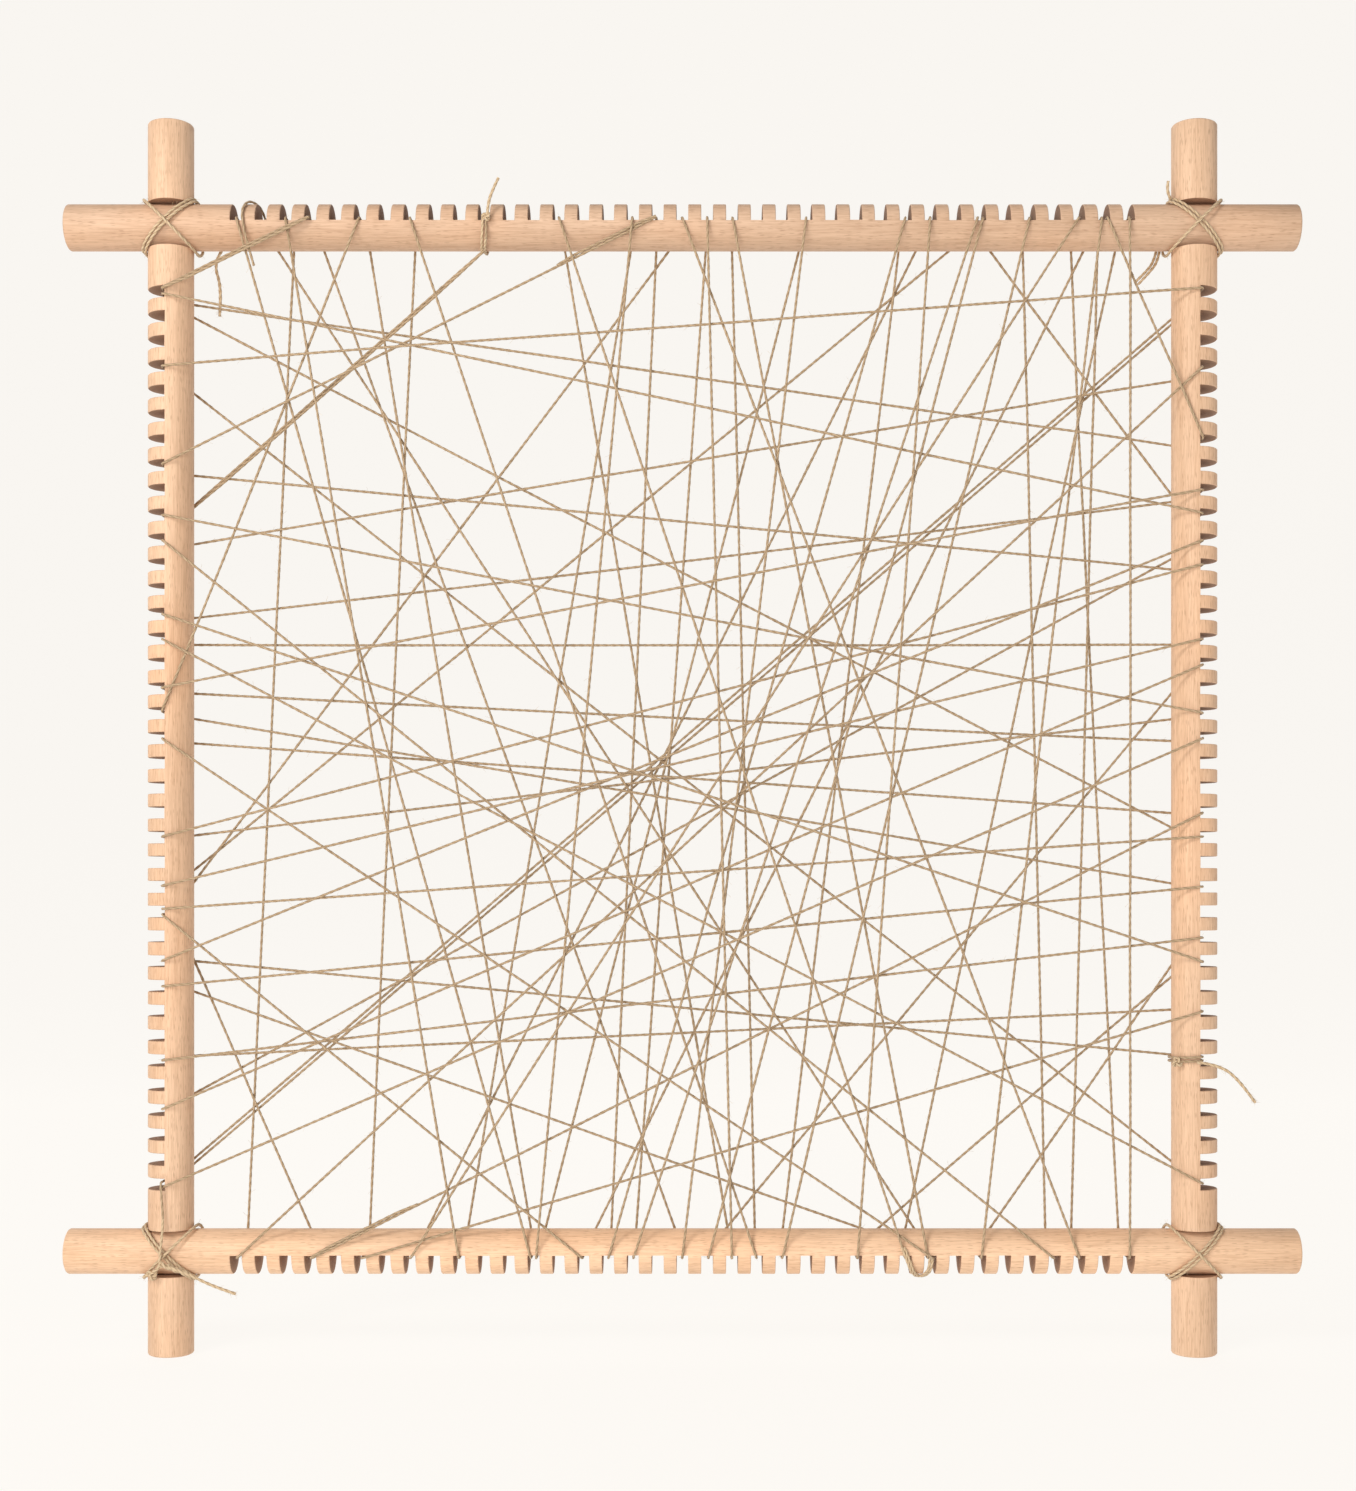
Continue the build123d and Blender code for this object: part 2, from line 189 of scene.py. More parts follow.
def stepped(tree, value, low, high):
    """0 below low, 1 above high, and a smooth ramp between."""
    ins = {"Value": value, "From Min": low, "From Max": high}
    return result(tree, "ShaderNodeMapRange", ins, interpolation_type="SMOOTHSTEP")


def noise(tree, vector, detail=3.0, roughness=0.5):
    """The value of a noise texture whose scale is already in its vector."""
    ins = {"Vector": vector, "Scale": 1.0, "Detail": detail, "Roughness": roughness}
    return result(tree, "ShaderNodeTexNoise", ins)


def attribute(tree, name, output="Fac"):
    """A value that the mesh carries."""
    return add_node(tree, "ShaderNodeAttribute", attribute_name=name).outputs[output]


print("node helpers ready")

# %% [markdown]
# ## Beech
# Beech is a pale pinkish wood with short dark flecks that lie along the grain. Each dowel's
# mesh carries an attribute, "stock", that says where a point was in the round bar before it
# was cut: along it, out towards the notches, and across. The pattern reads that, so it runs
# through the wood in the right direction on rails and stiles alike, and a saw cut shows the
# end of the same grain. The cut faces are painted darker, partly for their end grain and
# partly as painted shade inside the notches, and each whole bar is painted lighter or darker
# as painted light. The grain is a shader node group, because the long surfaces and the cut
# ones both use it with their own strengths.
# %% Shader group: wood grain
grain, group_in, group_out = new_group(
    "Wood grain",
    "ShaderNodeTree",
    [
        ("Place", "Vector"),
        ("Ground", "Color", (0.81, 0.555, 0.385, 1)),
        ("Streak", "Color", (0.60, 0.385, 0.25, 1)),
        ("Fleck", "Color", (0.38, 0.22, 0.13, 1)),
        ("Fleck strength", "Float", 0.5),
    ],
    [("Color", "Color"), ("Height", "Float")],
)
place = group_in.outputs["Place"]
broad = stepped(grain, noise(grain, scaled(grain, place, (5, 110, 110)), 4.0), 0.36, 0.68)
lines = stepped(grain, noise(grain, scaled(grain, place, (75, 1700, 1700)), 3.0, 0.6), 0.35, 0.75)
cloud = noise(grain, scaled(grain, place, (9, 22, 22)), 2.0)
darkness = maths(grain, "ADD", times(grain, broad, 0.4), times(grain, lines, 0.75))
streaked = mixed(grain, darkness, group_in.outputs["Ground"], group_in.outputs["Streak"])
ins = {"Vector": scaled(grain, place, (210, 1700, 1700)), "Scale": 1.0, "Randomness": 1.0}
cells = add_node(grain, "ShaderNodeTexVoronoi", ins)
near = maths(grain, "SUBTRACT", 1.0, stepped(grain, cells.outputs["Distance"], 0.14, 0.42))
cell_value = result(grain, "ShaderNodeSeparateColor", {0: cells.outputs["Color"]})
chosen = stepped(grain, cell_value, 0.35, 0.6)
fleck = times(grain, times(grain, near, chosen), group_in.outputs["Fleck strength"])
flecked = mixed(grain, fleck, streaked, group_in.outputs["Fleck"])
lightened = mixed(grain, stepped(grain, cloud, 0.42, 0.7), flecked, (1.06, 1.0, 0.95, 1), "MULTIPLY")
height = maths(grain, "SUBTRACT", times(grain, lines, -0.4), fleck)
feed(grain, group_out, {"Color": lightened, "Height": height})
print("wood grain group:", len(grain.nodes), "nodes")

# %% Material: beech
beech, tree, shader = new_material("beech")
stock = attribute(tree, "stock", "Vector")
cut = attribute(tree, "cut")
painted_light = attribute(tree, "painted_light")
wood = add_node(tree, "ShaderNodeGroup", node_tree=grain)
feed(tree, wood, {"Place": stock, "Fleck strength": 0.5})
fine = stepped(tree, noise(tree, scaled(tree, stock, (700, 2600, 2600)), 2.0), 0.3, 0.7)
# Cut faces take a darker colour: end grain at the dowel ends and notch walls, and painted shade in the
# notches, where walls and floors are darkened as if in shade.
end_grain_and_shade_colour = mixed(tree, fine, (0.40, 0.235, 0.155, 1), (0.26, 0.145, 0.10, 1))
cut_grain_and_shade_colour = mixed(tree, times(tree, cut, 0.82), wood.outputs["Color"], end_grain_and_shade_colour)
# Each whole bar is painted lighter or darker: painted light, darkest on the top rail and lightest on the
# bottom rail.
painted_bar_light = mixed(tree, painted_light, (0.83, 0.825, 0.82, 1), (1.10, 1.08, 1.02, 1))
warm_colour = mixed(tree, 1.0, cut_grain_and_shade_colour, painted_bar_light, "MULTIPLY")
rough = maths(tree, "ADD", 0.52, times(tree, cut, 0.22))
rough = maths(tree, "SUBTRACT", rough, times(tree, wood.outputs["Height"], 0.12))
rise = maths(tree, "ADD", wood.outputs["Height"], times(tree, fine, cut))
bump = result(tree, "ShaderNodeBump", {"Height": rise, "Strength": 0.22, "Distance": 0.0004})
feed(tree, shader, {"Base Color": warm_colour, "Roughness": rough, "Normal": bump})
feed(tree, shader, {"Specular IOR Level": 0.32})
print("beech material:", len(tree.nodes), "nodes")

# %% [markdown]
# ## The dowels
# A boolean would cut the notches, but it leaves long thin faces that shade badly. A dowel is a
# row of rings, so it is lofted instead: each ring is the round section, or the section that a
# cut leaves, and neighbouring rings are joined by faces. Where a saw went in, two rings stand
# at the same place, and the faces between them are the cut's wall. The edge of each cut is
# eased by a fraction of a millimetre so that it catches the light.
# %% Rings and lofts
RING_SIDES = 72
EDGE_EASE = 0.3
LAP_EASE = 0.15
FLOOR_WANDER, WALL_WANDER = (0.0, 0.25), (-0.05, 0.15)  # how far one saw cut differs from another
END_ROUNDING = ((0.0, 1.0), (0.3, 0.4), (0.9, 0.0))  # place from the end, and how much is off the radius


def section(kind, ease=0.0, floor=FLOOR_RISE, keep=FRONT):
    """Points of one ring as (outward, frontward). ease rounds the edge of what will be cut."""
    points = []
    for k in range(RING_SIDES):
        turn = 2 * math.pi * k / RING_SIDES
        out, front = DOWEL_RADIUS * math.cos(turn), DOWEL_RADIUS * math.sin(turn)
        if kind == "notch":
            out = min(out, floor)
        if kind == "lap":
            front = max(front, 0.0) if keep == FRONT else min(front, 0.0)
        gone = out > floor + EDGE_EASE if kind == "by notch" else front * keep > EDGE_EASE
        if kind == "round" or (kind.startswith("by") and gone):
            share = 1 - ease / DOWEL_RADIUS
            out, front = out * share, front * share
        points.append((out, front))
    return points


def dowel_rings(length, lap_spacing, keep, rng):
    """Every ring of a dowel in order, as (place along it, section points, kind)."""
    half = length / 2
    rings = [(-half + step, section("round", ease), "end") for step, ease in END_ROUNDING]
    cuts = [(side * lap_spacing / 2, DOWEL_RADIUS + LAP_CLEARANCE, "lap") for side in (-1, 1)]
    cuts += [(k * NOTCH_PITCH - HALF_COMB, NOTCH_WIDTH / 2, "notch") for k in range(NOTCH_COUNT)]
    for middle, reach, kind in sorted(cuts):
        floor = FLOOR_RISE
        before, after = middle - reach, middle + reach
        if kind == "notch":
            floor -= rng.uniform(*FLOOR_WANDER)
            before -= rng.uniform(*WALL_WANDER)
            after += rng.uniform(*WALL_WANDER)
        ease = EDGE_EASE if kind == "notch" else LAP_EASE
        side = {"floor": floor, "keep": keep}
        rings += [
            (before - ease, section("round"), "round"),
            (before, section("by " + kind, ease, **side), "wall"),
            (before, section(kind, **side), kind),
            (after, section(kind, **side), kind),
            (after, section("by " + kind, ease, **side), "wall"),
            (after + ease, section("round"), "round"),
        ]
    return rings + [(half - step, section("round", ease), "end") for step, ease in END_ROUNDING[::-1]]


def loft(name, rings, centre, along, outward, painted_light, shift):
    """Joins rings into a closed mesh with stock and cut attributes, and a painted_light value that paints
    the whole bar lighter or darker.
    """
    centre, along, outward = Vector(centre), Vector(along), Vector(outward)
    frontward = Vector((0, -1, 0))
    places, stocks, index, loops = [], [], {}, []
    for step, points, _ in rings:
        loop = []
        for out, front in points:
            key = (round(step, 3), round(out, 3), round(front, 3))
            if key not in index:
                index[key] = len(places)
                places.append((centre + along * step + outward * out + frontward * front) * MM)
                stocks.append(((step + shift) * MM, out * MM, (front + shift) * MM))
            loop.append(index[key])
        loops.append(loop)
    faces, cuts = [loops[0][::-1], loops[-1]], [1.0, 1.0]
    sides = zip(loops, rings, loops[1:], rings[1:])
    for first, (a_step, _, a_kind), second, (b_step, _, b_kind) in sides:
        wall = 1.0 if abs(a_step - b_step) < 1e-6 else 0.0
        for k in range(RING_SIDES):
            n = (k + 1) % RING_SIDES
            corners = list(dict.fromkeys((first[k], first[n], second[n], second[k])))
            if len(corners) < 3:
                continue
            # Notch floors are long grain; their part share of the cut colour is painted shade in the
            # notch.
            flat = a_kind == b_kind == "notch" and places_flat(stocks, corners)
            faces.append(corners)
            cuts.append(wall or (0.35 if flat else 0.0))
    mesh = bpy.data.meshes.new(name)
    mesh.from_pydata(places, [], faces)
    mesh.attributes.new("stock", "FLOAT_VECTOR", "POINT").data.foreach_set(
        "vector", [v for stock_place in stocks for v in stock_place]
    )
    mesh.attributes.new("cut", "FLOAT", "FACE").data.foreach_set("value", cuts)
    mesh.attributes.new("painted_light", "FLOAT", "POINT").data.foreach_set("value", [painted_light] * len(places))
    return mesh


def places_flat(stocks, corners):
    """True if the corners all lie at one height, as on a notch's floor."""
    heights = [stocks[c][1] for c in corners]
    return max(heights) - min(heights) < 1e-5


def finish_mesh(mesh, material, angle=38):
    """Turns faces outward, shades them, and returns an object in the scene."""
    work = bmesh.new()
    work.from_mesh(mesh)
    bmesh.ops.recalc_face_normals(work, faces=work.faces)
    work.to_mesh(mesh)
    work.free()
    mesh.shade_smooth()
    mesh.set_sharp_from_angle(angle=math.radians(angle))
    mesh.materials.append(material)
    return new_object(mesh.name, mesh)


# %% Four dowels
GRAIN_SHIFT = 137.0  # so that no two dowels show the same grain
RAIL = (RAIL_LENGTH, 2 * HALF_WIDTH, FRONT, (1, 0, 0))
STILE = (STILE_LENGTH, TOP_HEIGHT - BOTTOM_HEIGHT, BACK, (0, 0, 1))
# The last number of each dowel is its painted light: the top rail painted darkest, the bottom rail
# lightest, the stiles between.
DOWELS = [
    ("top_rail", RAIL, (0, 0, TOP_HEIGHT), (0, 0, 1), 0.1),
    ("bottom_rail", RAIL, (0, 0, BOTTOM_HEIGHT), (0, 0, -1), 1.0),
    ("left_stile", STILE, (-HALF_WIDTH, 0, MIDDLE_HEIGHT), (-1, 0, 0), 0.6),
    ("right_stile", STILE, (HALF_WIDTH, 0, MIDDLE_HEIGHT), (1, 0, 0), 0.65),
]
for number, (node, (length, lap_spacing, keep, along), centre, outward, painted_light) in enumerate(DOWELS):
    rings = dowel_rings(length, lap_spacing, keep, random.Random(number))
    mesh = loft("beech_" + node, rings, centre, along, outward, painted_light, GRAIN_SHIFT * (number + 1))
    piece = finish_mesh(mesh, beech)
    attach(piece, "root")
    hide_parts(node)
    print(piece.name, len(mesh.polygons), "faces")

# %% [markdown]
# ## Where the twine goes
# Three lengths of twine make the warp. Each visits a list of notches, T and B counted from the
# left and L and R from the top, and changes between the front and the back at every notch.
# That alternation is what holds the twine in the comb without a single nail.
# %% The three lengths, notch by notch
FIRST_LENGTH = (
    "T1 B13 T6 L18 R25 L29 B29 T21 B22 T8 B6 R30 L32 R27 B31 T36 B15 L26 B4 R22 L19 B29"
).split()
SECOND_LENGTH = (
    "L10 R18 L23 R12 L8 T18 B16 T28 B23 T33 B34 L11 R4 B1 T3 B10 T17 B13 T24 B19 T4 L1 R7"
    " T36 B35 T19 L26 R23 L1 R10 T31 B20 R16 L34 R11 L28 R32"
).split()
THIRD_LENGTH = (
    "L37 R1 L4 R37 L15 R15 L25 T31 B17 T20 B21 T14 B28 T37 B37 T35 B8 T29 B26 R28 L14 R9"
    " L17 R19 L37 R1"
).split()
LENGTHS = [(FIRST_LENGTH, FRONT), (SECOND_LENGTH, FRONT), (THIRD_LENGTH, BACK)]
KNOTTED_NOTCH = "T11"
print("runs:", sum(len(notches) - 1 for notches, _ in LENGTHS))


# %% Places of notches
def outward_of(notch):
    """The direction from a notch's dowel axis out through the notch, in X and Z."""
    return {"T": (0, 1), "B": (0, -1), "L": (-1, 0), "R": (1, 0)}[notch[0]]


def along_of(notch):
    """The direction in which a notch's sideways offset is measured, in X and Z."""
    return (1, 0) if notch[0] in "TB" else (0, 1)


def axis_point(notch):
    """The point on the dowel's axis level with the notch, in X and Z."""
    step = (int(notch[1:]) - 1) * NOTCH_PITCH
    if notch[0] in "TB":
        return (step - HALF_COMB, TOP_HEIGHT if notch[0] == "T" else BOTTOM_HEIGHT)
    return (-HALF_WIDTH if notch[0] == "L" else HALF_WIDTH, MIDDLE_HEIGHT + HALF_COMB - step)


def lean(notch, other):
    """How far a run leans along the notch's dowel for each unit that it goes inward."""
    here, there = axis_point(notch), axis_point(other)
    delta = (there[0] - here[0], there[1] - here[1])
    inward = -(delta[0] * outward_of(notch)[0] + delta[1] * outward_of(notch)[1])
    return (delta[0] * along_of(notch)[0] + delta[1] * along_of(notch)[1]) / inward


def pass_offsets():
    """Sideways place of each pass in its notch, ordered by the way its runs pull it."""
    pulls = {}
    for which, (notches, _) in enumerate(LENGTHS):
        for k, notch in enumerate(notches):
            beside = [notches[j] for j in (k - 1, k + 1) if 0 <= j < len(notches)]
            pull = sum(lean(notch, other) for other in beside) / len(beside)
            pulls.setdefault(notch, []).append((pull, which, k))
    offsets = {}
    for passes in pulls.values():
        for spot, (pull, which, k) in enumerate(sorted(passes)):
            if len(passes) == 1:
                offsets[which, k] = PULL_SHIFT * pull / (1 + abs(pull))
            else:
                offsets[which, k] = (spot - (len(passes) - 1) / 2) * PASS_SPACING
    return offsets


def corner_point(notch, offset):
    """Where a pass turns from the notch floor into its run, in X and Z."""
    centre, side, out = axis_point(notch), along_of(notch), outward_of(notch)
    return tuple(centre[i] + side[i] * offset + out[i] * PASS_RISE for i in (0, 1))


offsets = pass_offsets()
print("passes:", len(offsets))

# %% [markdown]
# ## How high each run lies
# Where two runs cross on one face, the one wound later lies over the other, and both strings
# give way a little. The height of every crossing is found by relaxing the whole face: each
# point moves to where its neighbours pull it, then every pair that touches is pushed apart to
# one twine's thickness. The result has no string passing through another.
# %% Crossings and heights
JOIN_WITHIN = 5  # a crossing this near a run's end counts as its end
FLAT_SINE = 0.2  # strings that cross at a flatter angle than this touch along a stretch
ROOM_PLACES = (6, 10, 15, 21, 28)  # from each end of a run, where it may bend off the wood
SWEEPS, LAST_SWEEPS = 600, 20


def crossing(a, b, c, d):
    """Where segments a-b and c-d cross, as a fraction of each, or None."""
    r = (b[0] - a[0], b[1] - a[1])
    s = (d[0] - c[0], d[1] - c[1])
    turn = r[0] * s[1] - r[1] * s[0]
    if abs(turn) < 1e-9:
        return None
    gap = (c[0] - a[0], c[1] - a[1])
    t = (gap[0] * s[1] - gap[1] * s[0]) / turn
    u = (gap[0] * r[1] - gap[1] * r[0]) / turn
    return (t, u) if 0 < t < 1 and 0 < u < 1 else None


def dowel_room(point):
    """How far off the frame's middle plane a run must lie where it passes a point."""
    away = [abs(point[0] - HALF_WIDTH), abs(point[0] + HALF_WIDTH)]
    away += [abs(point[1] - TOP_HEIGHT), abs(point[1] - BOTTOM_HEIGHT)]
    reach = DOWEL_RADIUS + TWINE_RADIUS + 0.9 * ARRIS_ROOM
    return math.sqrt(max(0, reach**2 - min(away) ** 2))


def weave(runs):
    """The height of each run, (face, start, end), at its ends and wherever it is touched."""
    ys, bounds, places = [], [], []
    chains = [[] for _ in runs]
    pairs = []

    def node(run, fraction):
        _, a, b = runs[run]
        point = (a[0] + (b[0] - a[0]) * fraction, a[1] + (b[1] - a[1]) * fraction)
        ys.append(0.0)
        bounds.append(dowel_room(point) - FACE_OFFSET)
        places.append(point)
        chains[run].append((fraction, len(ys) - 1))
        return len(ys) - 1

    def nearest(run, fraction):
        size = math.dist(runs[run][1], runs[run][2])
        if fraction * size < JOIN_WITHIN:
            return ends[run][0]
        if (1 - fraction) * size < JOIN_WITHIN:
            return ends[run][1]
        return node(run, fraction)

    ends = [(node(k, 0), node(k, 1)) for k in range(len(runs))]
    for j, (face, c, d) in enumerate(runs):
        for i in range(j):
            hit = crossing(runs[i][1], runs[i][2], c, d) if runs[i][0] == face else None
            if not hit:
                continue
            pairs.append((nearest(i, hit[0]), nearest(j, hit[1]), CLEAR_GAP))
            first, second = Vector(runs[i][1]) - Vector(runs[i][2]), Vector(c) - Vector(d)
            turn = first.angle(second)
            if abs(math.sin(turn)) > FLAT_SINE:
                continue
            reach = 0.6 * CLEAR_GAP / abs(math.sin(turn))
            way = 1 if math.cos(turn) > 0 else -1
            for step in (-reach, reach):
                one = hit[0] + way * step / first.length
                other = hit[1] + step / second.length
                if 0 < one < 1 and 0 < other < 1:
                    pairs.append((nearest(i, one), nearest(j, other), 0.85 * CLEAR_GAP))
    for k, (_, a, b) in enumerate(runs):
        size = math.dist(a, b)
        for away in ROOM_PLACES:
            if away < size / 3:
                node(k, away / size)
                node(k, 1 - away / size)

    sides = [[] for _ in ys]
    for chain in chains:
        chain.sort()
        for (_, p), (_, q) in zip(chain, chain[1:]):
            stiffness = 1 / max(0.5, math.dist(places[p], places[q]))
            sides[p].append((q, stiffness))
            sides[q].append((p, stiffness))
    fixed = {n for pair in ends for n in pair}
    for n in fixed:
        bounds[n] = 0.0
    free = sorted(set(range(len(ys))) - fixed - {n for pair in pairs for n in pair[:2]})

    def rest(n):
        total = sum(w for _, w in sides[n])
        pull = sum(w * ys[m] for m, w in sides[n])
        if n in fixed:
            total += 1 / END_GRIP
        return pull / total, total

    for _ in range(SWEEPS):
        for n in [*fixed, *free]:
            ys[n] = max(bounds[n], rest(n)[0])
        for under, over, gap in pairs:
            low, low_weight = rest(under)
            high, high_weight = rest(over)
            if high - low < gap:
                both = low_weight + high_weight
                low = (low_weight * low + high_weight * (high - gap)) / both
            ys[under] = max(low, bounds[under])
            ys[over] = max(high, bounds[over], ys[under] + gap)
    for under, over, gap in pairs:
        ys[over] = max(ys[over], ys[under] + gap)
    for _ in range(LAST_SWEEPS):
        for n in free:
            ys[n] = max(bounds[n], rest(n)[0])
    return [[(places[n], ys[n]) for _, n in chain] for chain in chains]


# %% Routes of the three lengths
BEVEL = 0.414  # tangent of 22.5 degrees, for the corners of an octagon round a dowel


def at(point, y):
    """A place in X and Z at a distance y behind the middle plane."""
    return (point[0], y, point[1])


def steps_from(place, *steps):
    """Points that stand at some steps from a place."""
    return [tuple(a + b for a, b in zip(place, step)) for step in steps]


runs, owners, names = [], [], []
for which, (notches, face) in enumerate(LENGTHS):
    for k, (here, there) in enumerate(zip(notches, notches[1:])):
        ends = (corner_point(here, offsets[which, k]), corner_point(there, offsets[which, k + 1]))
        runs.append((face, *ends))
        owners.append(which)
        names.append(here + "-" + there)
        face = -face

# The first length ends up behind the second notch, over the tooth beside it and down the front.
tooth_start = axis_point("T2")[0] - 1
tooth_end = axis_point("T1")[0] + 2.8
last_start = corner_point("B29", offsets[0, len(FIRST_LENGTH) - 1])
_, first_top, first_foot = runs[0]
first_slope = (first_foot[0] - first_top[0]) / (first_top[1] - first_foot[1])
END_DROP = 22.0
tied_end = (tooth_end + first_slope * END_DROP, TOP_HEIGHT - END_DROP)
loop_place = owners.index(1)
runs.insert(loop_place, (BACK, last_start, (tooth_start, TOP_HEIGHT)))
runs.insert(loop_place + 1, (FRONT, (tooth_end, TOP_HEIGHT), tied_end))
owners[loop_place:loop_place] = [0, 0]
names[loop_place:loop_place] = ["B29-T2", "tie"]

chains = weave(runs)
run_points = {}
stretches = [[], [], []]
for (face, start, end), owner, name, chain in zip(runs, owners, names, chains):
    placed = [at(point, face * (FACE_OFFSET + y)) for point, y in chain]
    run_points.setdefault(name, placed)
    stretches[owner].append([at(start, 0), *placed, at(end, 0)])

top_of_tooth = TOP_HEIGHT + FACE_OFFSET
over_tooth = [
    (tooth_start - 0.4, FACE_OFFSET, TOP_HEIGHT + BEVEL * FACE_OFFSET),
    (tooth_start - 2.2, BEVEL * FACE_OFFSET, top_of_tooth),
    (tooth_end + 2.2, -BEVEL * FACE_OFFSET, top_of_tooth),
    (tooth_end, -FACE_OFFSET, TOP_HEIGHT + BEVEL * FACE_OFFSET),
]
down_front = stretches[0].pop()
up_back = stretches[0].pop()
stretches[0].append([*up_back[:-1], *over_tooth, *down_front[2:-1]])

knot = axis_point(KNOTTED_NOTCH)
under_rail = knot[1] - FACE_OFFSET - 0.1
turn_round_rail = steps_from(
    at(knot, 0), (1.2, -FACE_OFFSET, -9), (1.0, -FACE_OFFSET, PASS_RISE), (0.4, FACE_OFFSET, PASS_RISE)
)
turn_round_rail += [
    (knot[0] + 0.2, FACE_OFFSET, knot[1] - BEVEL * FACE_OFFSET),
    (knot[0], BEVEL * FACE_OFFSET, under_rail),
    (knot[0] - 0.6, -4, under_rail),
]
arrival = runs[owners.index(1)][1]
run_points["T11-L10"] = [turn_round_rail[-1], at(arrival, FACE_OFFSET)]
stretches[1].insert(0, [*turn_round_rail, at(arrival, FACE_OFFSET), at(arrival, 0)])

turn_notch = axis_point("R32")
notch_side = turn_notch[0] + PASS_RISE
inner_side = turn_notch[0] - FACE_OFFSET


def stile_turn(height):
    """One turn from the notch floor round the stile and back into the notch, a step lower."""
    step = TURN_SPACING
    near, far = turn_notch[0] - BEVEL * FACE_OFFSET, BEVEL * FACE_OFFSET
    return [
        (notch_side, 0, height),
        (notch_side, -FACE_OFFSET, height),
        (near, -FACE_OFFSET, height - 0.25 * step),
        (inner_side, -far, height - 0.4 * step),
        (inner_side, far, height - 0.6 * step),
        (near, FACE_OFFSET, height - 0.75 * step),
        (notch_side, FACE_OFFSET, height - step),
        (notch_side, 0, height - step),
    ]


arriving = turn_notch[1] + TURN_SPACING
last_stretch = stretches[1].pop()
stretches[1].append(
    [*last_stretch[:-2], (notch_side, FACE_OFFSET, arriving), (notch_side, 0, arriving)]
)
stretches[1] += [stile_turn(arriving), stile_turn(arriving - TURN_SPACING)]

corner_level = -FACE_OFFSET - CLEAR_GAP
corner_start = (-HALF_WIDTH - 0.4, corner_level, BOTTOM_HEIGHT + DOWEL_RADIUS + 7)
first_notch = runs[owners.index(2)][1]
stretches[2].insert(0, [corner_start, at(first_notch, corner_level), at(first_notch, 0)])
print("touching points:", sum(len(chain) for chain in chains))

# %% [markdown]
# ## Twine
# Jute twine is two plies twisted together, and the twist is what makes it look like twine: a
# row of slanted beads with a groove between. Geometry Nodes sweep a flattened section along
# the route and turn it as it goes. The route is resampled to even steps, the twist comes from
# the distance along it, and the thickness wanders a little, because hand-spun fibre is uneven.
# The tree also leaves two attributes for the material: where a point is round the twine, and
# how far along.
# %% Geometry Nodes tree: two-ply twine
def stored(tree, geometry, name, value, kind="FLOAT_VECTOR"):
    """Keeps a value on every point under a name."""
    ins = {"Geometry": geometry, "Name": name, "Value": value}
    return result(tree, "GeometryNodeStoreNamedAttribute", ins, data_type=kind, domain="POINT")


def send_out(tree, geometry, group_in, group_out):
    """Gives the geometry the group's material and makes it the group's output."""
    ins = {"Geometry": geometry, "Material": group_in.outputs["Material"]}
    feed(tree, group_out, {"Geometry": result(tree, "GeometryNodeSetMaterial", ins)})


ply, ply_in, ply_out = new_group(
    "Two-ply twine",
    "GeometryNodeTree",
    [
        ("Geometry", "Geometry"),
        ("Thickness", "Float", 0.0017),
        ("Lay", "Float", 0.008),
        ("Step", "Float", 0.0008),
        ("Unevenness", "Float", 0.3),
        ("Material", "Material"),
    ],
    [("Geometry", "Geometry")],
)
ins = {"Curve": ply_in.outputs["Geometry"], "Length": ply_in.outputs["Step"]}
even = result(ply, "GeometryNodeResampleCurve", ins, mode="LENGTH")
distance = add_node(ply, "GeometryNodeSplineParameter").outputs["Length"]
turns = maths(ply, "DIVIDE", distance, ply_in.outputs["Lay"])
ins = {"Curve": even, "Tilt": times(ply, turns, 2 * math.pi)}
tilted = result(ply, "GeometryNodeSetCurveTilt", ins)
spot = result(ply, "GeometryNodeInputPosition")
wander = maths(ply, "SUBTRACT", noise(ply, scaled(ply, spot, (90, 90, 90)), 2.0), 0.5)
girth = maths(ply, "ADD", 1.0, times(ply, wander, ply_in.outputs["Unevenness"]))
swollen = result(ply, "GeometryNodeSetCurveRadius", {"Curve": tilted, "Radius": girth})
marked = stored(ply, swollen, "along", distance, "FLOAT")
ins = {"Resolution": 8, "Radius": times(ply, ply_in.outputs["Thickness"], 0.5)}
ring = result(ply, "GeometryNodeCurvePrimitiveCircle", ins)
ring_spot = result(ply, "GeometryNodeInputPosition")
unit = result(ply, "ShaderNodeVectorMath", {0: ring_spot}, operation="NORMALIZE")
ins = {"Geometry": stored(ply, ring, "round", unit), "Position": scaled(ply, ring_spot, (1.03, 0.84, 1.0))}
waisted = result(ply, "GeometryNodeSetPosition", ins)
ins = {"Curve": marked, "Profile Curve": waisted, "Scale": girth, "Fill Caps": True}
tube = result(ply, "GeometryNodeCurveToMesh", ins)
smooth = result(ply, "GeometryNodeSetShadeSmooth", {"Geometry": tube})
send_out(ply, smooth, ply_in, ply_out)
print("twine tree:", len(ply.nodes), "nodes")

# %% Shader group and materials: spun fibre
fibre, fibre_in, fibre_out = new_group(
    "Spun fibre",
    "ShaderNodeTree",
    [
        ("Round", "Vector"),
        ("Along", "Float", 0.0),
        ("Light", "Color", (0.62, 0.43, 0.25, 1)),
        ("Dark", "Color", (0.30, 0.18, 0.09, 1)),
    ],
    [("Color", "Color"), ("Height", "Float")],
)
parts = add_node(fibre, "ShaderNodeSeparateXYZ", {0: fibre_in.outputs["Round"]})
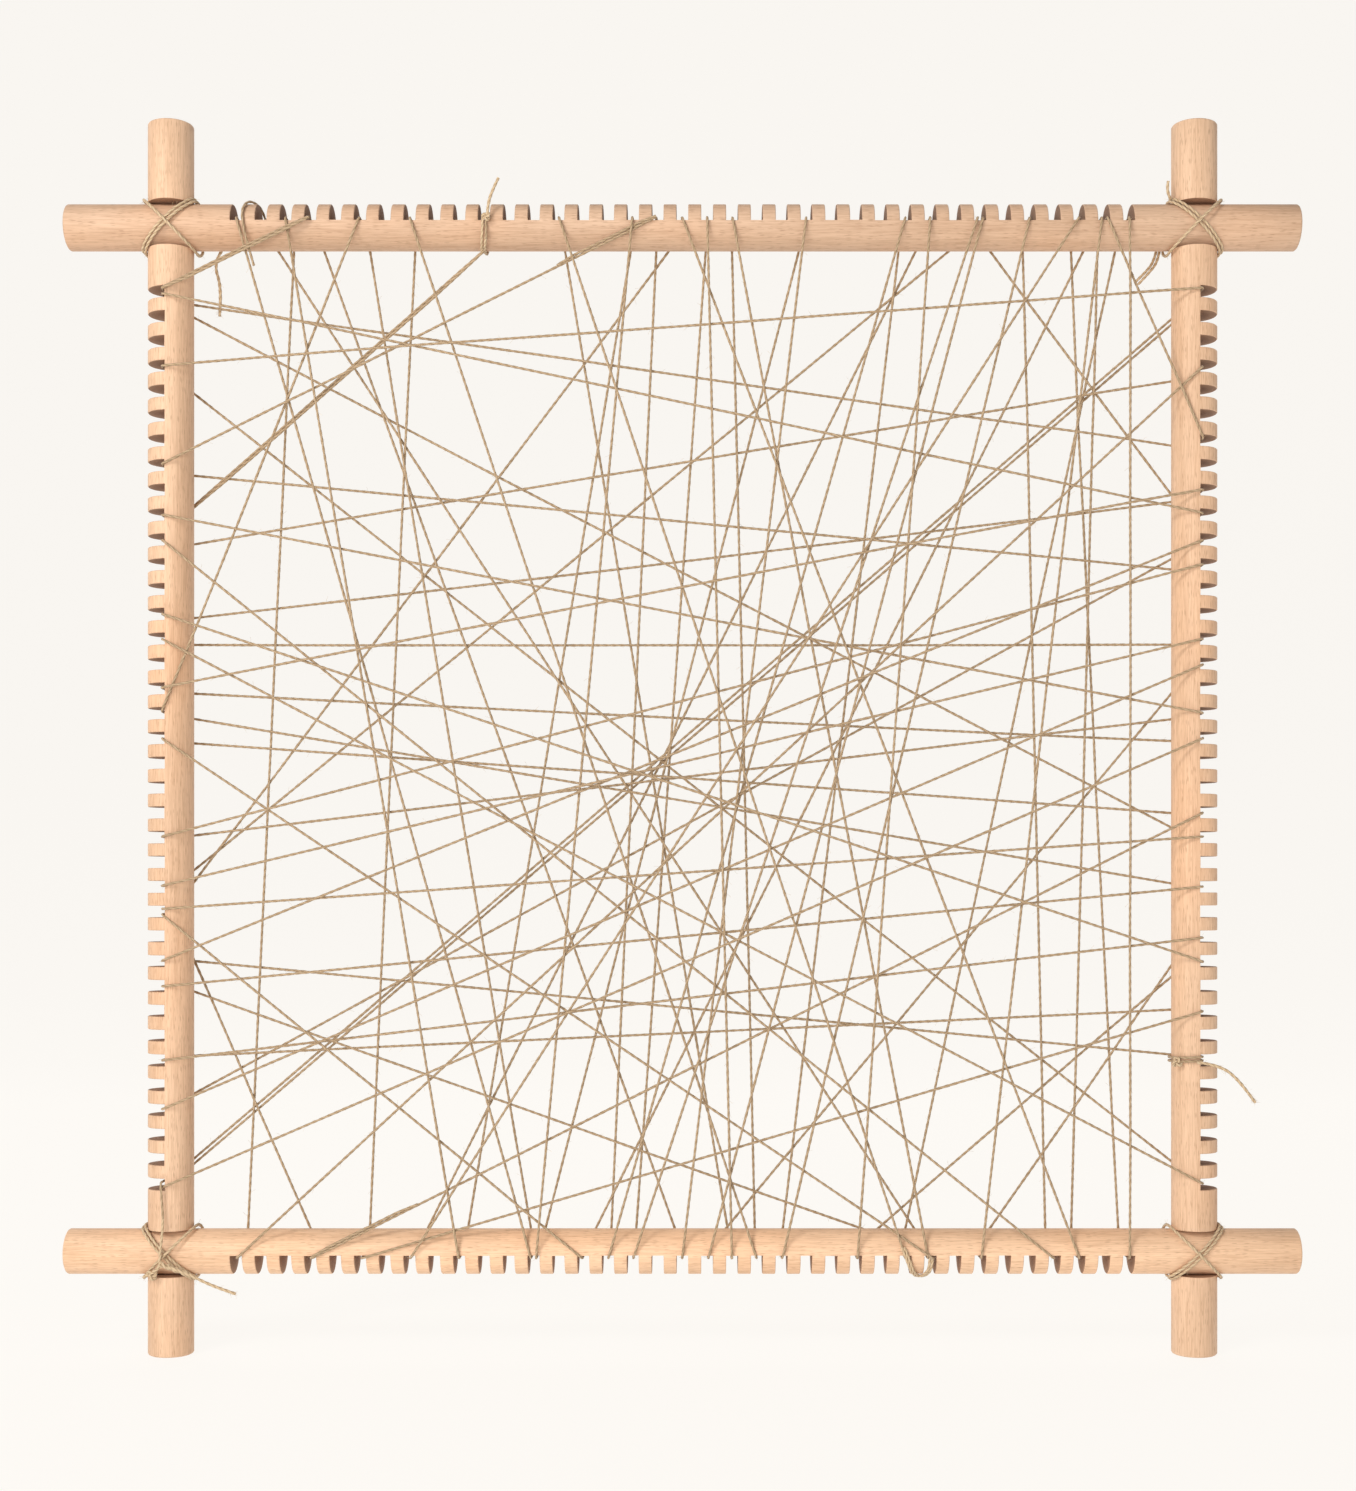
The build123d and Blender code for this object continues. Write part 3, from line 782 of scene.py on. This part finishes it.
# The groove between the plies takes the dark colour: painted shade in the crease, on top of the bump that
# gives it depth.
groove_depth_and_shade = maths(fibre, "ABSOLUTE", parts.outputs[0])
ins = {k: times(fibre, parts.outputs[k], 3.0) for k in (0, 1)}
ins[2] = times(fibre, fibre_in.outputs["Along"], 320.0)
wound = result(fibre, "ShaderNodeCombineXYZ", ins)
strands = stepped(fibre, noise(fibre, wound, 4.0, 0.65), 0.34, 0.7)
slow = result(fibre, "ShaderNodeCombineXYZ", {2: times(fibre, fibre_in.outputs["Along"], 22.0)})
patch = stepped(fibre, noise(fibre, slow, 2.0), 0.35, 0.7)
lit_strands = maths(fibre, "ADD", 0.45, times(fibre, strands, 0.55))
light_share = times(fibre, stepped(fibre, groove_depth_and_shade, 0.05, 0.75), lit_strands)
spun = mixed(fibre, light_share, fibre_in.outputs["Dark"], fibre_in.outputs["Light"])
toned = mixed(fibre, times(fibre, patch, 0.5), spun, (0.80, 0.76, 0.72, 1), "MULTIPLY")
feed(fibre, fibre_out, {"Color": toned, "Height": maths(fibre, "ADD", strands, groove_depth_and_shade)})


def twine_material(name, light, shade_and_dark_fibre):
    """A matt, slightly hairy twine finish between two colours; the darker one is also the painted shade in
    the ply groove.
    """
    material, tree, shader = new_material(name)
    spun_node = add_node(tree, "ShaderNodeGroup", node_tree=fibre)
    feed(tree, spun_node, {"Round": attribute(tree, "round", "Vector"), "Along": attribute(tree, "along")})
    feed(tree, spun_node, {"Light": light, "Dark": shade_and_dark_fibre})
    height = spun_node.outputs["Height"]
    roughness = maths(tree, "SUBTRACT", 0.88, times(tree, height, 0.08))
    bump = result(tree, "ShaderNodeBump", {"Height": height, "Strength": 0.35, "Distance": 0.0002})
    finish = {"Base Color": spun_node.outputs["Color"], "Roughness": roughness, "Normal": bump}
    feed(tree, shader, finish)
    feed(tree, shader, {"Specular IOR Level": 0.25, "Sheen Weight": 0.25, "Sheen Roughness": 0.4})
    return material


warp_twine = twine_material("warp twine", (0.60, 0.445, 0.285, 1), (0.35, 0.24, 0.14, 1))
knot_twine = twine_material("knot twine", (0.78, 0.61, 0.40, 1), (0.50, 0.35, 0.21, 1))
print("twine materials ready")


# %% Routes with eased corners, and twine along them
STRAIGHT, SHARP = math.radians(4), math.radians(35)
ROOM_SHARE, ARC_STEPS = 0.46, 6


def eased(points, tight=TWINE_DIAMETER):
    """Rounds a route: a small arc at a notch's edge, and a larger one wherever there is room."""
    route = [Vector(points[0])]
    for before, here, after in zip(points, points[1:], points[2:]):
        before, here, after = Vector(before), Vector(here), Vector(after)
        back, ahead = before - here, after - here
        if back.length < 1e-6 or ahead.length < 1e-6:
            continue
        half_turn = (math.pi - back.angle(ahead)) / 2
        if half_turn < STRAIGHT:
            route.append(here)
            continue
        room = ROOM_SHARE * min(back.length, ahead.length)
        reach = min(room, tight * math.tan(half_turn)) if half_turn > SHARP else room
        first, last = here + back.normalized() * reach, here + ahead.normalized() * reach
        weight = 1 / math.cos(half_turn)
        for k in range(ARC_STEPS + 1):
            t = k / ARC_STEPS
            share = 2 * t * (1 - t)
            total = (1 - t) ** 2 + share / weight + t**2
            route.append((first * (1 - t) ** 2 + here * (share / weight) + last * t**2) / total)
    route.append(Vector(points[-1]))
    return route


def joined(stretches):
    """One route through stretches that each start where the one before ended."""
    route = []
    for points in stretches:
        rounded = eased(points)
        route += rounded if not route else rounded[1:]
    return route


def route_curve(name, routes, kind="POLY"):
    """A curve object of open splines, in metres, from points in millimetres."""
    curve = bpy.data.curves.new(name, "CURVE")
    curve.dimensions = "3D"
    for route in routes:
        spline = curve.splines.new(kind)
        spline.points.add(len(route) - 1)
        for point, place in zip(spline.points, route):
            point.co = (*(Vector(place) * MM), 1.0)
        if kind == "NURBS":
            spline.order_u = 3
            spline.use_endpoint_u = True
            spline.resolution_u = 12
    return new_object(name, curve)


def evaluated(holder):
    """The mesh that an object evaluates to; the object itself is removed."""
    graph = bpy.context.evaluated_depsgraph_get()
    mesh = bpy.data.meshes.new_from_object(holder.evaluated_get(graph), depsgraph=graph)
    bpy.data.objects.remove(holder)
    return mesh


def set_input(modifier, tree, name, value):
    """Sets a Geometry Nodes input by its socket's identifier."""
    for item in tree.interface.items_tree:
        if item.item_type == "SOCKET" and item.in_out == "INPUT" and item.name == name:
            modifier[item.identifier] = value


def baked(holder, tree, **inputs):
    """Runs a tree on an object once and returns the result as a plain mesh object."""
    modifier = holder.modifiers.new("build", "NODES")
    modifier.node_group = tree
    for name, value in inputs.items():
        set_input(modifier, tree, name, value)
    name = holder.name
    mesh = evaluated(holder)
    mesh.name = name
    return new_object(name, mesh)


def twine(name, routes, material=warp_twine, thickness=1.34, lay=8.0, step=0.8, unevenness=0.4):
    """A piece of twine along one route or several."""
    sizes = {"Thickness": thickness * MM, "Lay": lay * MM, "Step": step * MM}
    piece = baked(route_curve(name, routes), ply, **sizes, Unevenness=unevenness, Material=material)
    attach(piece, "root")
    print(name, len(piece.data.polygons), "faces")
    return piece


# %% The warp. A long length is made in two or three pieces, so that no mesh is too heavy.
WARP_PIECES = [("warp_first", 2), ("warp_second", 3), ("warp_third", 2)]
for (node, parts_wanted), pieces_of_route in zip(WARP_PIECES, stretches):
    share = math.ceil(len(pieces_of_route) / parts_wanted)
    for number in range(parts_wanted):
        some = pieces_of_route[number * share : (number + 1) * share]
        piece = twine(f"{node}_twine_{number + 1}", [joined(some)])
        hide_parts(node)

# %% [markdown]
# ## Lashings, knots and doubled strands
# Each corner is bound with two turns along one diagonal and a third over them. The ends of the
# warp are tied off in small overhand knots, which have the shape of an open trefoil.
# %% Lashings at the four corners
ARMPIT_REACH = DOWEL_RADIUS + TWINE_RADIUS + ARMPIT_ROOM


def around(start, finish, side, height):
    """Points of a half turn that passes over the wood from one place in X and Z to another."""
    points = []
    for share, rise in ((0, BEVEL), (0.293, 1), (0.707, 1), (1, BEVEL)):
        place = [start[i] + (finish[i] - start[i]) * share for i in (0, 1)]
        points.append(at(place, side * rise * height))
    return points


def lashing_route(side, end):
    """The route of one corner's lashing; side and end say which way the corner faces."""
    centre = (side * HALF_WIDTH, BOTTOM_HEIGHT if end < 0 else TOP_HEIGHT)
    apart = TURN_SPACING / 2 / math.sqrt(2)

    def corner(x, z, shift):
        across = (-z * apart * shift, x * apart * shift)
        place = (x * ARMPIT_REACH + across[0], z * ARMPIT_REACH + across[1])
        return (centre[0] - side * place[0], centre[1] + end * place[1])

    high = ARMPIT_REACH + TURN_SPACING
    low_left, low_left_again = corner(-1, -1, 1), corner(-1, -1, -1)
    up_right, up_right_again = corner(1, 1, -1), corner(1, 1, 1)
    up_left, low_right = corner(-1, 1, 0), corner(1, -1, 0)
    below = ((low_left[0] + low_right[0]) / 2, low_left[1])
    route = around(below, low_left, BACK, ARMPIT_REACH)[1:]
    route += around(low_left, up_right, FRONT, ARMPIT_REACH)
    route += around(up_right, low_left_again, BACK, ARMPIT_REACH)
    route += around(low_left_again, up_right_again, FRONT, ARMPIT_REACH)
    route += around(up_right_again, up_left, BACK, ARMPIT_REACH)
    route += around(up_left, low_right, FRONT, high)
    return route + around(low_right, (low_right[0], centre[1]), BACK, ARMPIT_REACH)


CORNERS = [("top_left", -1, 1), ("top_right", 1, 1), ("bottom_left", -1, -1), ("bottom_right", 1, -1)]
for corner_name, side, end in CORNERS:
    route = eased(lashing_route(side, end), 6.0)
    piece = twine(f"lashing_{corner_name}_twine", [route], knot_twine, 1.5, 7.0, 0.6)
    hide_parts("lashing_" + corner_name)


# %% Knots and wraps
KNOT_POINTS, COIL_POINTS = 40, 12


def trefoil(centre, size, tilt=0.0):
    """An open overhand knot that lies against the front of the wood."""
    points = []
    for k in range(KNOT_POINTS):
        t = 2 * math.pi * (k + 0.5) / KNOT_POINTS
        x, z = math.sin(t) + 2 * math.sin(2 * t), math.cos(t) - 2 * math.cos(2 * t)
        turned = (x * math.cos(tilt) - z * math.sin(tilt), x * math.sin(tilt) + z * math.cos(tilt))
        points += steps_from(centre, (size * turned[0], -size * math.sin(3 * t), size * turned[1]))
    return points


front_skin = -FACE_OFFSET - CLEAR_GAP
knots = [
    trefoil((knot[0] + 1.4, front_skin + 0.6, knot[1] + 1.4), 0.62, 0.4),
    trefoil((-HALF_WIDTH - 5.5, -DOWEL_RADIUS - 2.6, BOTTOM_HEIGHT - 9.0), 0.8, 0.2),
    trefoil((HALF_WIDTH - 10.6, -FACE_OFFSET + 2.4, turn_notch[1] - 1.0), 0.75, 1.2),
]
twine("knots", knots, knot_twine, 1.5, 5.0, 0.5)


def coil(start, finish, radius, pitch, phase):
    """A strand that winds round the straight line between two places."""
    start, finish = Vector(start), Vector(finish)
    axis = (finish - start).normalized()
    side = axis.orthogonal().normalized()
    other = axis.cross(side)
    length = (finish - start).length
    points = []
    for k in range(int(length / pitch * COIL_POINTS) + 1):
        t = 2 * math.pi * k / COIL_POINTS + phase
        swing = side * math.cos(t) + other * math.sin(t)
        points.append(start + axis * (pitch * k / COIL_POINTS) + swing * radius)
    return points


# The third length starts at a twisted pair that lies under the bottom left lashing.
lashing_front = (-HALF_WIDTH, -ARMPIT_REACH, BOTTOM_HEIGHT)
tie_start, tie_end = steps_from(lashing_front, (-1.5, -3.2, -3.5), (12.5, -4.2, -8.2))
lead_front = (-HALF_WIDTH, corner_level, BOTTOM_HEIGHT)
leads = [
    [corner_start, *steps_from(lead_front, (-0.6, -0.4, 11), (-1.0, -2.4, 4)), tie_start],
    steps_from(lashing_front, (-10.5, 2, -10.5), (-6, -1.6, -8.6), (-2, -3.4, -5.4)) + [tie_start],
]
strands = [eased(points) for points in leads]
tooth = (axis_point("B28")[0] + axis_point("B29")[0]) / 2
for shift in (0, 1.3):
    face = (tooth + shift, -FACE_OFFSET, BOTTOM_HEIGHT)
    under = (tooth + shift, -4.5, BOTTOM_HEIGHT - DOWEL_RADIUS)
    under_tooth = steps_from(face, (-8.2, -0.5, 4), (-5.6, -0.5, -2.5), (-3.6, 1.6, -8))
    under_tooth += steps_from(under, (-0.6, 0, -0.4), (2.6, 0, -0.2))
    under_tooth += steps_from(face, (5.0, 1.4, -7.5), (5.6, 0.4, -1))
    strands.append(eased(under_tooth))
strands += [coil(tie_start, tie_end, 0.75, 8.0, phase) for phase in (0, math.pi)]
twine("corner_wrap", strands, knot_twine, 1.5, 6.0, 0.5)


# %% Short tails and doubled strands
STRAND_STEPS = 12


def beside(name, shift, first=0.0, last=1.0, lift=0.5):
    """A strand that lies beside part of a run and closes up to it at both ends."""
    points = [Vector(place) for place in run_points[name]]
    start, way = points[0], (points[-1] - points[0]).normalized()
    across = Vector((-way.z, 0, way.x))
    length = (points[-1] - start).length
    side = Vector((0, FRONT if start.y < 0 else BACK, 0))
    strand = []
    for k in range(STRAND_STEPS + 1):
        share = first + (last - first) * k / STRAND_STEPS
        reach = share * length
        for a, b in zip(points, points[1:]):
            low, high = (a - start).dot(way), (b - start).dot(way)
            if low - 0.01 <= reach <= high + 0.01:
                spread = min(1, 0.3 + k / 3, 0.3 + (STRAND_STEPS - k) / 3)
                spot = a.lerp(b, (reach - low) / (high - low))
                strand.append(spot + across * shift * spread + side * lift)
                break
    return strand


doubled = [
    beside("T4-L1", 1.25),
    beside("T11-L10", 1.25),
    beside("L8-T18", 1.25, 0.80, 1.0),
    beside("B4-R22", 1.25, 0.0, 0.12),
]
twine("doubled_strands", [eased(strand) for strand in doubled], warp_twine, 1.4, 8.0)

knot_front = (knot[0], front_skin, knot[1])
knot_face = (knot[0], -FACE_OFFSET, knot[1])
knot_foot = (knot[0], 0, under_rail)
lap = (HALF_WIDTH, 0, TOP_HEIGHT)
short_tails = [
    steps_from(knot_front, (1.8, 0.2, 0.6), (2.2, 0.2, 7), (4.0, 0.2, 13), (7.2, 1.0, 20)),
    steps_from(knot_face, (1.0, 0.4, -8), (0.4, 2.6, -11.2))
    + steps_from(knot_foot, (-0.4, -4, 0), (-0.6, 0, 0)),
    steps_from(knot_front, (-0.3, 1.4, 2.0))
    + steps_from(knot_face, (-0.6, -0.4, -4), (-1.2, 2.4, -10.4))
    + steps_from(knot_foot, (-1.8, -4, -0.3)),
    steps_from(lap, (-12.8, -5, 12.6), (-14.2, -7, 14), (-15, -8, 17), (-14.6, -8.5, 20)),
    steps_from(lap, (-14, 12.5, -7), (-15, 12.6, -12), (-18, 11.5, -17), (-24.8, 12, -24)),
    steps_from(lap, (-15.6, 12.7, -7), (-16.8, 12.8, -12), (-20, 11.7, -17), (-26.4, 12.2, -23)),
]


def smooth_route(points):
    """Even points along a smooth spline whose control points are in millimetres."""
    mesh = evaluated(route_curve("route", [points], "NURBS"))
    places = [vertex.co / MM for vertex in mesh.vertices]
    bpy.data.meshes.remove(mesh)
    return places


twine("short_tails", [smooth_route(points) for points in short_tails], knot_twine, 1.5, 6.0, 0.5)
print("doubled strands:", len(doubled), "short tails:", len(short_tails))

# %% [markdown]
# ## Loose ends
# Three ends of the warp hang free. Their splines have the same control points as the solids,
# and the length of each is printed.
# %% The three loose ends
start_notch = runs[0][1]
hang = FACE_OFFSET + TURN_SPACING + 0.8
below_rail = TOP_HEIGHT - DOWEL_RADIUS
stile_front = -FACE_OFFSET - TURN_SPACING - 0.3
corner_front = -(DOWEL_RADIUS + TWINE_RADIUS + ARMPIT_ROOM + 2 * TURN_SPACING + 1)
START_TAIL_DROP, STILE_TAIL_REACH, CORNER_TAIL_REACH = 31.0, 30.0, 32.0
LOOSE_ENDS = {
    "tail_start": [
        at(start_notch, 0.4),
        (start_notch[0] - 0.2, FACE_OFFSET + 0.6, start_notch[1]),
        (start_notch[0] - 10, hang, TOP_HEIGHT - 2),
        (start_notch[0] - 17, hang, below_rail - 2),
        (start_notch[0] - 13, hang + 0.5, below_rail - 14),
        (start_notch[0] - 14, hang, below_rail + 3 - START_TAIL_DROP),
    ],
    "tail_stile": [
        (HALF_WIDTH - 2, stile_front, turn_notch[1] - 0.6),
        (HALF_WIDTH + 7, stile_front - 0.6, turn_notch[1] - 1.6),
        (HALF_WIDTH + 17, stile_front - 1, turn_notch[1] - 7.5),
        (HALF_WIDTH - 4 + STILE_TAIL_REACH, stile_front, turn_notch[1] - 20),
    ],
    "tail_corner": [
        (-HALF_WIDTH + 3, corner_front, BOTTOM_HEIGHT - 4.5),
        (-HALF_WIDTH + 13, corner_front - 0.8, BOTTOM_HEIGHT - 8),
        (-HALF_WIDTH + 24, corner_front + 0.6, BOTTOM_HEIGHT - 14),
        (-HALF_WIDTH + 3 + CORNER_TAIL_REACH, corner_front + 2, BOTTOM_HEIGHT - 18),
    ],
}
for node, points in LOOSE_ENDS.items():
    route = smooth_route(points)
    length = sum((b - a).length for a, b in zip(route, route[1:]))
    piece = twine(node + "_twine", [route], knot_twine, 1.6, 6.5, 0.5)
    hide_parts(node)
    print(node, round(length, 1), "mm")

# %% [markdown]
# ## Stray fibres
# Jute twine is hairy. A second tree scatters short curled fibres along the routes, each leaning
# away from the twine at a random turn. They are thin enough that only a few catch the light.
# %% Geometry Nodes tree: stray fibres
fuzz, fuzz_in, fuzz_out = new_group(
    "Stray fibres",
    "GeometryNodeTree",
    [
        ("Geometry", "Geometry"),
        ("Spacing", "Float", 0.005),
        ("Reach", "Float", 0.003),
        ("Thickness", "Float", 0.00009),
        ("Material", "Material"),
    ],
    [("Geometry", "Geometry")],
)
ins = {"Curve": fuzz_in.outputs["Geometry"], "Length": fuzz_in.outputs["Spacing"]}
dots = add_node(fuzz, "GeometryNodeCurveToPoints", ins, mode="LENGTH")
ins = {"Resolution": 3, "Start": (0, 0, 0), "Middle": (0.45, 0.1, 0.35), "End": (0.75, 0.45, 1.0)}
hair = result(fuzz, "GeometryNodeCurveQuadraticBezier", ins)
width = times(fuzz, fuzz_in.outputs["Reach"], 2.0)
half_thick = maths(fuzz, "DIVIDE", fuzz_in.outputs["Thickness"], width)
hair_ring = result(fuzz, "GeometryNodeCurvePrimitiveCircle", {"Resolution": 3, "Radius": half_thick})
ins = {"Curve": hair, "Profile Curve": hair_ring, "Fill Caps": True}
hair_tube = result(fuzz, "GeometryNodeCurveToMesh", ins)
ins = {0: (0, 0, 0), 1: (0, 0.5, 6.283), "Seed": 3}
spin = result(fuzz, "FunctionNodeRandomValue", ins, data_type="FLOAT_VECTOR")
ins = {"Rotation": dots.outputs["Rotation"], "Rotate By": spin}
leaning = result(fuzz, "FunctionNodeRotateRotation", ins, rotation_space="LOCAL")
vary = add_node(fuzz, "FunctionNodeRandomValue", {2: 0.35, 3: 1.0, "Seed": 8}, data_type="FLOAT")
size = times(fuzz, vary.outputs[1], fuzz_in.outputs["Reach"])
ins = {
    "Points": dots.outputs["Points"],
    "Instance": hair_tube,
    "Rotation": leaning,
    "Scale": result(fuzz, "ShaderNodeCombineXYZ", {k: size for k in range(3)}),
}
hairs = result(fuzz, "GeometryNodeInstanceOnPoints", ins)
all_hairs = result(fuzz, "GeometryNodeRealizeInstances", {"Geometry": hairs})
send_out(fuzz, stored(fuzz, all_hairs, "round", (0.6, 0.6, 0.0)), fuzz_in, fuzz_out)
print("fibre tree ready")


# %% Stray fibres along the warp, the lashings and the loose ends
FIBRE_THICKNESS = 0.1


def stray_fibres(name, routes, spacing, reach):
    """Stray fibres along some routes, as one piece."""
    sizes = {"Spacing": spacing * MM, "Reach": reach * MM, "Thickness": FIBRE_THICKNESS * MM}
    piece = baked(route_curve(name, routes), fuzz, **sizes, Material=knot_twine)
    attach(piece, "root")
    print(name, len(piece.data.polygons), "faces")


for number, pieces_of_route in enumerate(stretches, 1):
    stray_fibres(f"warp_fibres_{number}", [joined(pieces_of_route)], 6.0, 2.6)
lashing_routes = [eased(lashing_route(side, end), 6.0) for _, side, end in CORNERS]
stray_fibres("lashing_fibres", lashing_routes, 1.6, 2.6)
tail_routes = [smooth_route(points) for points in LOOSE_ENDS.values()]
frayed = [route[-4:] for route in tail_routes]
stray_fibres("tail_fibres", tail_routes, 1.4, 2.6)
stray_fibres("frayed_ends", frayed, 0.15, 2.0)

# %% [markdown]
# ## Floor and light
# A pale floor that curves up into a backdrop shows no horizon. The key is a soft lamp up and to
# the left of the camera, so shadows fall down and to the right; two weaker lamps and the world
# fill them. The world is brighter to the camera than to the loom, so it stays as pale as the
# paper from every side.
# %% Floor, backdrop and lamps
STAGE_GLOW = 0.9
WORLD_LIGHT, WORLD_SEEN = 0.26, 0.695
PALE_COLOUR = (1.0, 0.972, 0.93, 1)
STAGE_COLOUR = (0.06, 0.058, 0.056, 1)
STAGE_REACH, BEND_START, BEND_RADIUS, BACKDROP_TOP = 6.0, 1.2, 1.5, 5.0
paper, paper_tree, paper_shader = new_material("stage paper")
feed(paper_tree, paper_shader, {"Base Color": STAGE_COLOUR, "Roughness": 0.9})
feed(paper_tree, paper_shader, {"Emission Color": PALE_COLOUR, "Emission Strength": STAGE_GLOW})
profile = [(-STAGE_REACH, 0.0), (BEND_START, 0.0)]
for t in [0.157 * k for k in range(1, 11)]:
    profile.append((BEND_START + BEND_RADIUS * math.sin(t), BEND_RADIUS - BEND_RADIUS * math.cos(t)))
profile.append((BEND_START + BEND_RADIUS, BACKDROP_TOP))
verts = [(x, y, z) for x in (-STAGE_REACH, STAGE_REACH) for y, z in profile]
count = len(profile)
faces = [(k, k + count, k + count + 1, k + 1) for k in range(count - 1)]
stage_mesh = bpy.data.meshes.new("stage_floor")
stage_mesh.from_pydata(verts, [], faces)
stage_mesh.shade_smooth()
stage_mesh.materials.append(paper)
stage_floor = new_object("stage_floor", stage_mesh)


def area_lamp(name, place, target, size, watts, colour):
    """A square lamp that faces a target."""
    data = bpy.data.lights.new(name, "AREA")
    data.shape = "SQUARE"
    data.size, data.energy, data.color = size, watts, colour
    lamp = new_object(name, data)
    lamp.location = place
    lamp.rotation_euler = (Vector(target) - Vector(place)).to_track_quat("-Z", "Y").to_euler()


LOOM_MIDDLE = (0, 0, 0.3)
area_lamp("key", (-1.1, -1.5, 1.35), LOOM_MIDDLE, 0.6, 21, (1.0, 0.975, 0.95))
area_lamp("low", (-0.4, -1.4, 0.2), (0, 0, 0.05), 0.7, 11, (1.0, 0.98, 0.95))
area_lamp("fill", (1.6, -1.6, 0.7), LOOM_MIDDLE, 1.6, 4, (1.0, 0.98, 0.96))
world = bpy.data.worlds.new("studio")
world.use_nodes = True
air = world.node_tree
seen = add_node(air, "ShaderNodeLightPath").outputs["Is Camera Ray"]
strength = maths(air, "ADD", WORLD_LIGHT, times(air, seen, WORLD_SEEN))
feed(air, air.nodes["Background"], {"Color": PALE_COLOUR, "Strength": strength})
bpy.context.scene.world = world
bpy.context.scene.view_settings.view_transform = "Standard"
print("stage and lamps ready")
